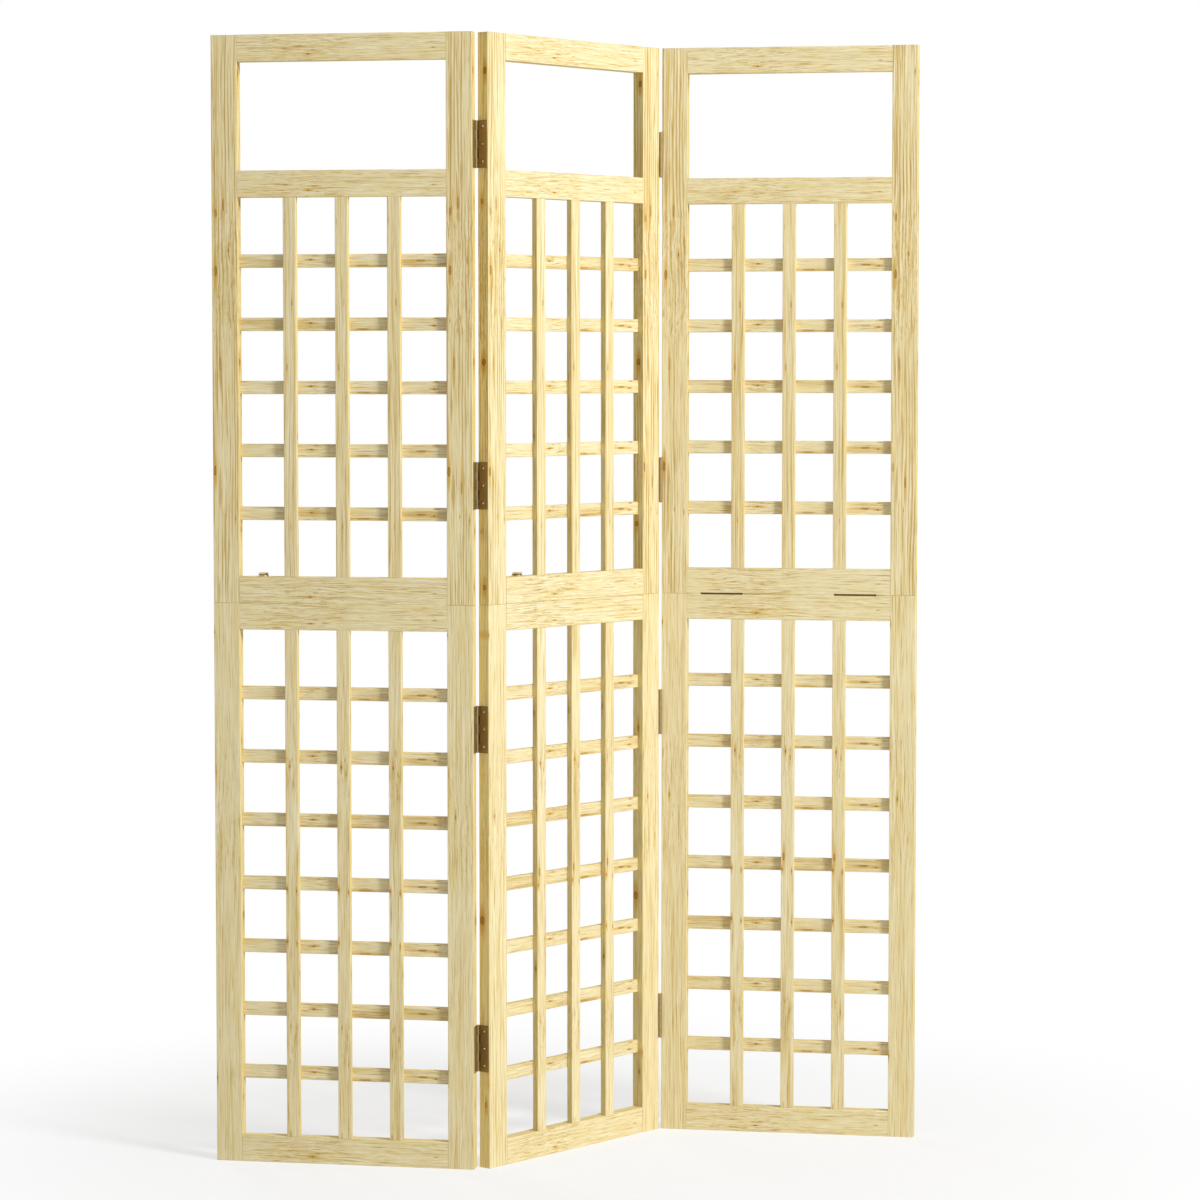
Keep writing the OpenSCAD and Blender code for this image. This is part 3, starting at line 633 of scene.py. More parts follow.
def set_round(face, middle, sides, radius):
    """Moves the corners of a face onto a circle"""
    corners = [loop.vert for loop in face.loops]
    first, second = (
        math.atan2((v.co - middle).dot(sides[1]), (v.co - middle).dot(sides[0])) for v in corners[:2]
    )
    way = 1 if math.sin(second - first) > 0 else -1
    normal = sides[0].cross(sides[1])
    for i, vert in enumerate(corners):
        angle = first + way * 2 * math.pi * i / len(corners)
        level = (vert.co - middle).dot(normal) * normal
        vert.co = middle + level + (sides[0] * math.cos(angle) + sides[1] * math.sin(angle)) * radius


def sink(bm, face, by):
    """Pushes a face into the solid and returns the pushed face"""
    made = bmesh.ops.extrude_discrete_faces(bm, faces=[face])["faces"][0]
    bmesh.ops.translate(bm, verts=made.verts[:], vec=by)
    return made


def bore(bm, middle, inwards, steps, square, through=None):
    """Bore made of steps of radius and depth. through is the middle of its far mouth, and that mouth's radius."""
    face = ring_in(bm, middle, -inwards, steps[0][0], square)
    depth = 0
    for index, (radius, to) in enumerate(steps):
        if index:
            bmesh.ops.inset_region(bm, faces=[face], thickness=STEP_INSET, use_even_offset=True)
            set_round(face, middle + inwards * depth, sides_of(inwards), radius)
        face = sink(bm, face, inwards * (to - depth))
        depth = to
    if through:
        other = ring_in(bm, through[0], inwards, through[1], square)
        loops = face.edges[:] + other.edges[:]
        bmesh.ops.delete(bm, geom=[face, other], context="FACES_ONLY")
        bmesh.ops.bridge_loops(bm, edges=loops)


def spun(bm, steps, angle=2 * math.pi, climb=0.0):
    """Turns what a mesh holds about Z, and closes the solid"""
    bmesh.ops.spin(
        bm, geom=bm.verts[:] + bm.edges[:] + bm.faces[:], axis=UP, cent=(0, 0, 0), dvec=(0, 0, climb),
        angle=angle, steps=steps, use_merge=not climb,
    )
    bmesh.ops.remove_doubles(bm, verts=bm.verts[:], dist=TINY)
    bmesh.ops.recalc_face_normals(bm, faces=bm.faces[:])
    return bm


def lathed(profile, steps, closed=False):
    """Solid turned from a line of radius and height, which ends on the axis, or from a closed line, as a ring"""
    bm = bmesh.new()
    verts = [bm.verts.new((r, 0, z)) for r, z in profile]
    for pair in zip(verts, verts[1:] + (verts[:1] if closed else [])):
        bm.edges.new(pair)
    return spun(bm, steps)


def coiled(profile, turns, steps, pitch):
    """Ridge whose closed outline of radius and height climbs round Z"""
    bm = bmesh.new()
    bm.faces.new([bm.verts.new((r, 0, z)) for r, z in profile])
    return spun(bm, steps * turns, 2 * math.pi * turns, pitch / steps)


def smooth_sides(bm, limit=35):
    """Smooth shading, with every edge sharper than the limit, in degrees, kept crisp"""
    for face in bm.faces:
        face.smooth = True
    for edge in bm.edges:
        edge.smooth = edge.is_manifold and edge.calc_face_angle(0) < math.radians(limit)
    return bm


def point_layers(bm):
    """What each point carries for its finish: its own place, its board's seed and its wear, or painted shade where that
    is below 0
    """
    layers = bm.verts.layers
    return layers.float_vector.new("place"), layers.float.new("seed"), layers.float.new("wear")


def join(whole, bm, matrix, seed=0.0, wear=None, offset=(0, 0, 0)):
    """Adds a part to a mesh, in its place, and keeps each point's own coordinates"""
    place, number, rubbed = point_layers(bm)
    for vert in bm.verts:
        vert[place] = vert.co + Vector(offset)
        vert[number] = seed
        vert[rubbed] = wear(vert.co) if wear else 0.0
    bmesh.ops.transform(bm, matrix=matrix, verts=bm.verts[:])
    if matrix.determinant() < 0:
        bmesh.ops.reverse_faces(bm, faces=bm.faces[:])
    mesh = bpy.data.meshes.new("part")
    bm.to_mesh(mesh)
    bm.free()
    whole.from_mesh(mesh)
    bpy.data.meshes.remove(mesh)


def build(prefix, node, material, *parts):
    """Object that stands for a node of the frame. Each part is a mesh and its place, then what else join takes."""
    whole = bmesh.new()
    point_layers(whole)
    for part in parts:
        join(whole, *part)
    name = f"{prefix}_{node}"
    mesh = bpy.data.meshes.new(name)
    whole.to_mesh(mesh)
    whole.free()
    mesh.materials.append(material)
    obj = bpy.data.objects.new(name, mesh)
    bpy.context.scene.collection.objects.link(obj)
    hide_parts(node)
    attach(obj, BODY_OF[node])


# ---------------------------------------------------------------- layout, from the same values as the frame


def half_span(half):
    """Bottom and top of a half"""
    middle, gap = SCREEN_H / 2, sizes().seam_gap / 2
    return (0, middle - gap) if half == 0 else (middle + gap, SCREEN_H)


def window_rail_z():
    return SCREEN_H - FRAME_W - sizes().window_h - FRAME_W / 2


def bay(half):
    """Bottom and top of the opening that the lattice fills"""
    bottom, top = half_span(half)
    return bottom + FRAME_W, (top - FRAME_W if half == 0 else window_rail_z() - FRAME_W / 2)


def even(start, end, count):
    return [start + (end - start) * i / (count + 1) for i in range(1, count + 1)]


def upright_us():
    return even(FRAME_W, PANEL_W - FRAME_W, sizes().upright_count)


def level_zs(half):
    return even(*bay(half), sizes().lower_count if half == 0 else sizes().upper_count)


def bolt_u():
    return (FRAME_W + upright_us()[0] - sizes().slat_w / 2) / 2


def hinge_zs(half):
    size, middle = sizes(), SCREEN_H / 2
    if half == 0:
        return size.hinge_ground, middle - size.hinge_under
    return middle + size.hinge_over, SCREEN_H - size.hinge_top


def standing(u, v, z):
    """A board whose grain goes up"""
    return Matrix.Translation((u, v, z))


def lying(u, v, z):
    """A board whose grain goes along the panel: its width goes up"""
    turn = Matrix(((0, 0, 1, 0), (0, 1, 0, 0), (1, 0, 0, 0), (0, 0, 0, 1)))
    return Matrix.Translation((u, v, z)) @ turn


def board(width, thickness, long, recesses=(), recess_depth=0.0, recess_side=0):
    """Board with its width on X, its thickness on Y and its grain on Z. Recesses are spans of Z in one edge."""
    edge, other = (width, 0.0) if recess_side else (0.0, width)
    inner = edge - recess_depth if recess_side else recess_depth
    notched = [(edge, 0.0)]
    for start, end in recesses:
        notched += [(edge, start), (inner, start), (inner, end), (edge, end)]
    bm = slab(notched + [(edge, long), (other, long), (other, 0.0)], thickness)
    lengthwise = [e for e in bm.edges if abs(direction(e).z) > 0.9]
    if recesses:
        lengthwise = [e for e in lengthwise if abs(e.verts[0].co.x - inner) > NEAR]
    soften(bm, lengthwise, sizes().edge_r, segments=3)
    ends = [e for e in bm.edges if any(max(abs(v.co.z - end) for v in e.verts) < NEAR for end in (0.0, long))]
    soften(bm, ends, sizes().end_r, segments=1)
    return bm


# Kinds of pieces, which a seed starts with, and what the seed is mixed from
STILE, RAIL, MEETING_RAIL, UPRIGHT, LEVEL, SIDE_LEAF, MID_LEAF, SCREW = range(1, 9)
SEED_FACTORS, SEED_SCALE = (12.9898, 78.233, 37.719, 9.151), 43758.5453


def seed_of(*numbers):
    """Number from 0 to 1 that is always the same for the same piece"""
    mixed = sum(n * k for n, k in zip(numbers, SEED_FACTORS))
    return math.modf(abs(math.sin(mixed) * SEED_SCALE))[0]


# ---------------------------------------------------------------- boards


def pine_for(kind):
    """The pine of one kind of board, which is made when it is first asked for"""
    material = bpy.data.materials.get("pine_" + kind)
    if material:
        return material
    size = sizes()
    frame_board = kind in ("upper_stile", "lower_stile", "rail")
    width, thickness = (FRAME_W, FRAME_T) if frame_board else (size.slat_w, size.slat_t)
    long = RAIL_L
    if kind[:5] in HALVES:
        half = HALVES.index(kind[:5])
        bottom, top = half_span(half) if frame_board else bay(half)
        long = top - bottom
    return Pine(kind, width / MM, thickness / MM, long / MM).paint()


class SCREEN_OT_stiles(bpy.types.Operator):
    """Makes the twelve stiles: the upright boards at both sides of each half"""

    bl_idname = "screen.stiles"
    bl_label = "Stiles"

    def execute(self, context):
        for number, at in PANEL_AT.items():
            for half, word in enumerate(HALVES):
                bottom, top = half_span(half)
                for side, u in (("left", 0.0), ("right", PANEL_W - FRAME_W)):
                    seed = seed_of(STILE, half, number, side == "left")
                    part = board(FRAME_W, FRAME_T, top - bottom), at @ standing(u, 0, bottom), seed
                    build("planed", f"{word}_{side}_stile_{number}", pine_for(word + "_stile"), part)
        return {"FINISHED"}


class SCREEN_OT_rails(bpy.types.Operator):
    """Makes the rails: bottom, meeting, window and top, with the bolt bores and the hinge recesses"""

    bl_idname = "screen.rails"
    bl_label = "Rails"

    bore_room = 0.25 * MM
    insert_bore_depth = 30 * MM
    bore_square = 7.5 * MM
    recess_room = 0.05 * MM

    def plain(self, node, at, heights):
        build("planed", node, pine_for("rail"), *(
            (board(FRAME_W, FRAME_T, RAIL_L), at @ lying(FRAME_W, 0, z - FRAME_W / 2),
             seed_of(RAIL, z * 10, ord(node[-1]), index))
            for index, z in enumerate(heights)
        ))

    def recessed(self, half):
        """Meeting rail with the recesses of the two mid hinges"""
        size = sizes()
        reach = size.mid_hinge_l / 2 + size.recess_gap
        spans = [(u - FRAME_W - reach, u - FRAME_W + reach) for u in mid_hinge_us()]
        deep = size.mid_leaf_t + size.leaf_gap / 2 + self.recess_room - size.seam_gap / 2
        return board(FRAME_W, FRAME_T, RAIL_L, spans, deep, 1 if half == 0 else 0)

    def bored(self, half):
        """Meeting rail with the stepped bore of the insert, or with the bolt's bore right through"""
        size, wide = sizes(), sizes().bolt_r + self.bore_room
        bm = board(FRAME_W, FRAME_T, RAIL_L)
        top, under = (Vector((x, FRAME_T / 2, bolt_u() - FRAME_W)) for x in (FRAME_W, 0))
        if half == 0:
            bore(bm, top, -ALONG, ((size.insert_r, size.insert_l), (wide, self.insert_bore_depth)), self.bore_square)
        else:
            bore(bm, top, -ALONG, ((wide, FRAME_W / 2),), self.bore_square, through=(under, wide))
        return bm

    def execute(self, context):
        for number, at in PANEL_AT.items():
            self.plain(f"bottom_rail_{number}", at, (FRAME_W / 2,))
            self.plain(f"upper_cross_rails_{number}", at, (window_rail_z(), SCREEN_H - FRAME_W / 2))
            for half, word in enumerate(HALVES):
                bottom = half_span(0)[1] - FRAME_W if half == 0 else half_span(1)[0]
                rail = self.recessed(half) if number == 3 else self.bored(half)
                part = rail, at @ lying(FRAME_W, 0, bottom), seed_of(MEETING_RAIL, half, number)
                build("planed", f"{word}_meeting_rail_{number}", pine_for("rail"), part)
        return {"FINISHED"}


class SCREEN_OT_lattice(bpy.types.Operator):
    """Makes the lattice: upright slats in front and level slats behind them"""

    bl_idname = "screen.lattice"
    bl_label = "Lattice"

    def execute(self, context):
        size = sizes()
        wide, thick = size.slat_w, size.slat_t
        for number, at in PANEL_AT.items():
            for half, word in enumerate(HALVES):
                bottom, top = bay(half)
                build("planed", f"{word}_upright_slats_{number}", pine_for(word + "_upright"), *(
                    (board(wide, thick, top - bottom), at @ standing(u - wide / 2, 0, bottom),
                     seed_of(UPRIGHT, half, number, index))
                    for index, u in enumerate(upright_us())
                ))
                build("planed", f"{word}_level_slats_{number}", pine_for("level"), *(
                    (board(wide, thick, RAIL_L), at @ lying(FRAME_W, thick, z - wide / 2),
                     seed_of(LEVEL, half, number, index))
                    for index, z in enumerate(level_zs(half))
                ))
        return {"FINISHED"}


# ---------------------------------------------------------------- hinges

# Side hinges of each panel: the edge that carries one, and whether its barrel is at the back
HINGE_EDGES = {1: ((1, 1),), 2: ((-1, 1), (1, -1)), 3: ((-1, -1),)}
KNUCKLES, OUTER, INNER = 5, (0, 2, 4), (1, 3)
SCREWS = 3

# A leaf's rounded corners and rim, and its holes: their room, lip and the square face round them
LEAF_CORNER, LEAF_RIM, HOLE_ROOM, HOLE_LIP, HOLE_SQUARE = 1.6 * MM, 0.14 * MM, 0.05 * MM, 0.12 * MM, 3.6 * MM
# Lines cut in a leaf for its painted shade to fade between, from its notches, knuckles, free edge and ends
NOTCH_LINES, KNUCKLE_LINE, FREE_LINE, END_LINE = (1.4 * MM, 2.2 * MM), 0.4 * MM, 0.8 * MM, 0.9 * MM
# How far painted shade reaches from a notch, beside a foreign knuckle, from an edge, round a screw and into its hole
NOTCH_SHADE, CREASE_SHADE, EDGE_SHADE, SCREW_SHADE, HOLE_SHADE = 0.4 * MM, 1.5 * MM, 0.3 * MM, 0.1 * MM, 0.05 * MM
# Marks on a leaf: full painted shade, the fainter painted shade of a recessed front edge, and rubbed wear
FULL_SHADE, RECESS_SHADE, RUBBED = -1.0, -0.55, 0.75

# The rim's share of a pin head's height, and the angles at which its dome is drawn
PIN_RIM, PIN_DOME = 0.35, (0.0, 0.45, 0.9, 1.25)
KNUCKLE_BEVEL = 0.3 * MM

HingeSpec = namedtuple("HingeSpec", "long width thick axis_e row")


def side_hinge_at(edge, z):
    """Place of a side hinge: its pin along Z through the origin, its leaf towards -Y, the wood towards -X"""
    side, back = edge
    u = PANEL_W + SIDE_AXIS_E if side > 0 else -SIDE_AXIS_E
    v = FRAME_T + SIDE_AXIS_C if back > 0 else -SIDE_AXIS_C
    if side * back > 0:
        turn = Matrix.Rotation(math.pi if side < 0 else 0.0, 4, "Z")
    else:
        turn = Matrix.Scale(-1, 4, ALONG if side < 0 else BACK)
    return Matrix.Translation((u, v, z)) @ turn


def mid_hinge_at(u, half):
    """Place of a mid hinge, whose wood is under a lower leaf and over an upper one"""
    turn = Matrix.Rotation(-math.pi / 2, 4, "Y")
    flip = Matrix.Scale(-1, 4, ALONG) if half else Matrix.Identity(4)
    return Matrix.Translation((u, FRAME_T + MID_AXIS_C, SCREEN_H / 2)) @ turn @ flip


def hinge_spec(mid):
    """Length, leaf width, leaf thickness, pin's distance from the wood, and the screws' distance from the pin"""
    size = sizes()
    if not mid:
        width, row = SIDE_AXIS_C + FRAME_T - size.leaf_margin, SIDE_AXIS_C + FRAME_T / 2
        return HingeSpec(size.side_hinge_l, width, size.side_leaf_t, SIDE_AXIS_E, row)
    width, row = MID_AXIS_C + FRAME_T - size.mid_leaf_margin, MID_AXIS_C + FRAME_T / 2
    return HingeSpec(size.mid_hinge_l, width, size.mid_leaf_t, size.mid_leaf_t + size.leaf_gap / 2, row)


def mid_hinge_us():
    return sizes().mid_inset, PANEL_W - sizes().mid_inset


def hinge_places(half, mid):
    """Every leaf of a half's side hinges, or of its mid hinges: its number, its panel and its place"""
    if mid:
        places = [(3, mid_hinge_at(u, half)) for u in mid_hinge_us()]
    else:
        edges = [(number, edge) for number, edges in HINGE_EDGES.items() for edge in edges]
        places = [(number, side_hinge_at(edge, z)) for number, edge in edges for z in hinge_zs(half)]
    return [(index, number, PANEL_AT[number] @ place) for index, (number, place) in enumerate(places)]


def screw_rows(long):
    inset = sizes().screw_inset
    return [-long / 2 + inset + i * (long - 2 * inset) / (SCREWS - 1) for i in range(SCREWS)]


def knuckle_span(long, index):
    """Bottom and top of a knuckle. Half the gap is left at each end that meets another."""
    low, high = (-long / 2 + i * long / KNUCKLES for i in (index, index + 1))
    room = sizes().knuckle_gap / 2
    return low + (room if index else 0), high - (room if index < KNUCKLES - 1 else 0)


def leaf_outline(spec, own):
    """Outline of a leaf with tabs into its own knuckles. X is away from the pin and Z is along it."""
    size = sizes()
    neck, tab = -(size.barrel_r + size.notch), -(size.barrel_r + size.pin_r) / 2
    outline = []
    for index in own:
        low, high = knuckle_span(spec.long, index)
        outline += ([(neck, low)] if index else []) + [(tab, low), (tab, high)]
        if index < KNUCKLES - 1:
            outline.append((neck, high))
    if 0 not in own:
        outline = [(neck, -spec.long / 2)] + outline + [(neck, spec.long / 2)]
    return outline + [(-spec.width, spec.long / 2), (-spec.width, -spec.long / 2)]


def leaf_plate(spec, own):
    """Stamped plate of a leaf, with notches, rounded corners and holes, and lines for its painted shade to fade between
    """
    long, width, thick, axis_e, row = spec
    size = sizes()
    bm = slab(leaf_outline(spec, own), thick)
    # The outline was drawn in X and Z and grown along Y: it is turned to lie in Y and Z with its wood side at -axis_e
    turn = Matrix(((0, 1, 0, -axis_e), (1, 0, 0, 0), (0, 0, 1, 0), (0, 0, 0, 1)))
    bmesh.ops.transform(bm, matrix=turn, verts=bm.verts[:])
    bmesh.ops.recalc_face_normals(bm, faces=bm.faces[:])
    corners = [
        e for e in bm.edges if all(abs(v.co.y + width) < NEAR for v in e.verts) and abs(direction(e).x) > 0.5
    ]
    soften(bm, corners, LEAF_CORNER, segments=4)
    soften(bm, [e for e in bm.edges if e.is_manifold and e.calc_face_angle(0) > 1.2], LEAF_RIM, segments=2)
    for reach in NOTCH_LINES:
        cut(bm, Vector((0, -size.barrel_r - size.notch - NOTCH_SHADE - reach, 0)), BACK)
    for border in range(1, KNUCKLES):
        for way in (-1, 1):
            cut(bm, Vector((0, 0, -long / 2 + border * long / KNUCKLES + way * KNUCKLE_LINE)), UP)
    cut(bm, Vector((0, FREE_LINE - width, 0)), BACK)
    for way in (-1, 1):
        cut(bm, Vector((0, 0, way * (long / 2 - END_LINE))), UP)
    head, shank = size.screw_head_r + HOLE_ROOM, size.screw_r + HOLE_ROOM
    for z in screw_rows(long):
        near, far = Vector((thick - axis_e, -row, z)), Vector((-axis_e, -row, z))
        bore(bm, near, -ALONG, ((head, HOLE_LIP),), HOLE_SQUARE, through=(far, shank))
    return bm


def rolled_knuckle(spec, index):
    """Knuckle of a leaf: a tube round the pin with rounded ends"""
    low, high = knuckle_span(spec.long, index)
    inner, outer, soft = sizes().pin_r + HOLE_ROOM, sizes().barrel_r, KNUCKLE_BEVEL
    profile = [
        (inner, low), (outer - soft, low), (outer, low + soft),
        (outer, high - soft), (outer - soft, high), (inner, high),
    ]
    return smooth_sides(lathed(profile, steps=32, closed=True))


def leaf_wear_and_shade(spec, own):
    """The barrel is rubbed; shade is painted dark beside the other leaf's knuckles, in the notches, in the holes round
    the screws and at the ends, and fainter along a mid leaf's front edge
    """
    long, width, thick, axis_e, row = spec
    size = sizes()
    neck = -size.barrel_r - size.notch - NOTCH_SHADE

    def wear(co):
        screw = min(math.hypot(co.y + row, co.z - z) for z in screw_rows(long))
        own_knuckle = int((co.z / long + 0.5) * KNUCKLES) in own
        # Shade painted dark in the screw holes, at the leaf's ends and in the notches beside the barrel
        if (
            screw < size.screw_head_r + SCREW_SHADE and co.x < thick - axis_e - HOLE_SHADE
            or long / 2 - abs(co.z) < EDGE_SHADE
            or (neck if own_knuckle else neck - CREASE_SHADE) < co.y < -size.barrel_r
        ):
            return FULL_SHADE
        # Fainter painted shade of the recess along a mid leaf's front edge
        if thick == size.mid_leaf_t and width + co.y < EDGE_SHADE:
            return RECESS_SHADE
        return RUBBED if co.y >= -size.barrel_r else 0.0

    return wear


def leaf_parts(place, spec, own, seed):
    """The plate of a leaf and its knuckles"""
    rest = place, seed, leaf_wear_and_shade(spec, own), (0, 0, seed)
    return [(leaf_plate(spec, own), *rest)] + [(rolled_knuckle(spec, index), *rest) for index in own]


class SCREEN_OT_leaves(bpy.types.Operator):
    """Makes the leaves of the side and mid hinges, with their rolled knuckles"""

    bl_idname = "screen.leaves"
    bl_label = "Hinge leaves"

    def execute(self, context):
        tint = colours()
        bronze = metal("aged_bronze", tint.bronze, tint.rubbed, rough=0.42, metallic=0.65)
        for half, word in enumerate(HALVES):
            nodes = {(False, n): f"{word}_hinge_leaves_{n}" for n in PANEL_AT}
            nodes[True, 3] = f"mid_hinge_{word}_leaves"
            parts = {key: [] for key in nodes}
            for mid in (False, True):
                for index, number, place in hinge_places(half, mid):
                    outer = half == 0 if mid else number == 2
                    seed = seed_of(MID_LEAF if mid else SIDE_LEAF, half, index)
                    parts[mid, number] += leaf_parts(place, hinge_spec(mid), OUTER if outer else INNER, seed)
            for key, node in nodes.items():
                build("formed", node, bronze, *parts[key])
        return {"FINISHED"}


def brass():
    tint = colours()
    return bpy.data.materials.get("aged_brass") or metal("aged_brass", tint.brass, tint.tarnish, rough=0.34)


def hinge_pin(long):
    """Pin with a domed, riveted head at each end"""
    size = sizes()
    half, r, head_r, head_h = long / 2, size.pin_r, size.pin_head_r, size.pin_head_h
    dome = [(head_r * math.cos(a), half + head_h * (PIN_RIM + (1 - PIN_RIM) * math.sin(a))) for a in PIN_DOME]
    top = [(r, half), (head_r, half)] + dome + [(0.0, half + head_h)]
    return smooth_sides(lathed([(x, -z) for x, z in reversed(top)] + top, steps=24))


class SCREEN_OT_pins(bpy.types.Operator):
    """Makes the pins that the knuckles turn on"""

    bl_idname = "screen.pins"
    bl_label = "Hinge pins"

    def execute(self, context):
        for node, half, mid, panel in (
            ("lower_hinge_pins", 0, False, 2), ("upper_hinge_pins", 1, False, 2), ("mid_hinge_pins", 0, True, 3),
        ):
            places = [place for _, number, place in hinge_places(half, mid) if number == panel]
            build("riveted", node, brass(), *((hinge_pin(hinge_spec(mid).long), place) for place in places))
        return {"FINISHED"}


class SCREEN_OT_screws(bpy.types.Operator):
    """Makes the screws that hold the hinges"""

    bl_idname = "screen.screws"
    bl_label = "Hinge screws"

    head_share, dome_angles = 0.77, (0.35, 0.7, 1.05, 1.3)
    half_step, mid_step = 10, 40
    proud, dome_h, neck_z, tip_l = 0.02 * MM, 0.52 * MM, 1.05 * MM, 3 * MM
    cross_half_w, cross_reach, cross_depth, cross_slope = 0.28 * MM, 1.1 * MM, 0.9 * MM, 0.45

    def screw(self):
        """Screw along -Z whose domed head sits wholly in its countersink, so that two leaves can shut"""
        size = sizes()
        head, shank, deep = self.head_share * size.screw_head_r, size.screw_r, size.screw_l
        profile = [(0.0, -deep), (shank, self.tip_l - deep), (shank, -self.neck_z), (head, self.proud - self.dome_h)]
        profile += [(head * math.cos(a), self.proud - self.dome_h * (1 - math.sin(a))) for a in self.dome_angles]
        bm = lathed(profile + [(0.0, self.proud)], steps=24)
        for side in (ALONG, BACK):
            for way in (-1, 1):
                cut(bm, side * way * self.cross_half_w, side)
                cut(bm, side * way * self.cross_reach, side)
        recess = []
        for face in bm.faces:
            middle = face.calc_center_median()
            near, far = sorted((abs(middle.x), abs(middle.y)))
            if middle.z > self.proud - self.dome_h and near < self.cross_half_w and far < self.cross_reach:
                recess.append(face)
        sunk = bmesh.ops.extrude_face_region(bm, geom=recess)["geom"]
        bmesh.ops.delete(bm, geom=recess, context="FACES")
        for vert in new_points(sunk):
            vert.co.z = self.proud - self.cross_depth + self.cross_slope * (abs(vert.co.x) + abs(vert.co.y))
        return smooth_sides(bm, limit=30)

    def row(self, place, spec, leaf):
        """The screws of one leaf, each turned its own way"""
        turn = Matrix.Rotation(math.pi / 2, 4, "Y")
        for index, z in enumerate(screw_rows(spec.long)):
            spin = Matrix.Rotation(seed_of(SCREW, leaf, index) * math.pi, 4, "Z")
            yield self.screw(), place @ Matrix.Translation((spec.thick - spec.axis_e, -spec.row, z)) @ turn @ spin

    def execute(self, context):
        tint = colours()
        bright = metal("bright_screw", tint.screw, tint.brass, rough=0.30)
        for half, word in enumerate(HALVES):
            parts = {number: [] for number in PANEL_AT}
            for mid in (False, True):
                for index, number, place in hinge_places(half, mid):
                    leaf = index + self.half_step * half + self.mid_step * mid
                    parts[number] += self.row(place, hinge_spec(mid), leaf)
            for number in PANEL_AT:
                build("driven", f"{word}_hinge_screws_{number}", bright, *parts[number])
        return {"FINISHED"}


# ---------------------------------------------------------------- bolts


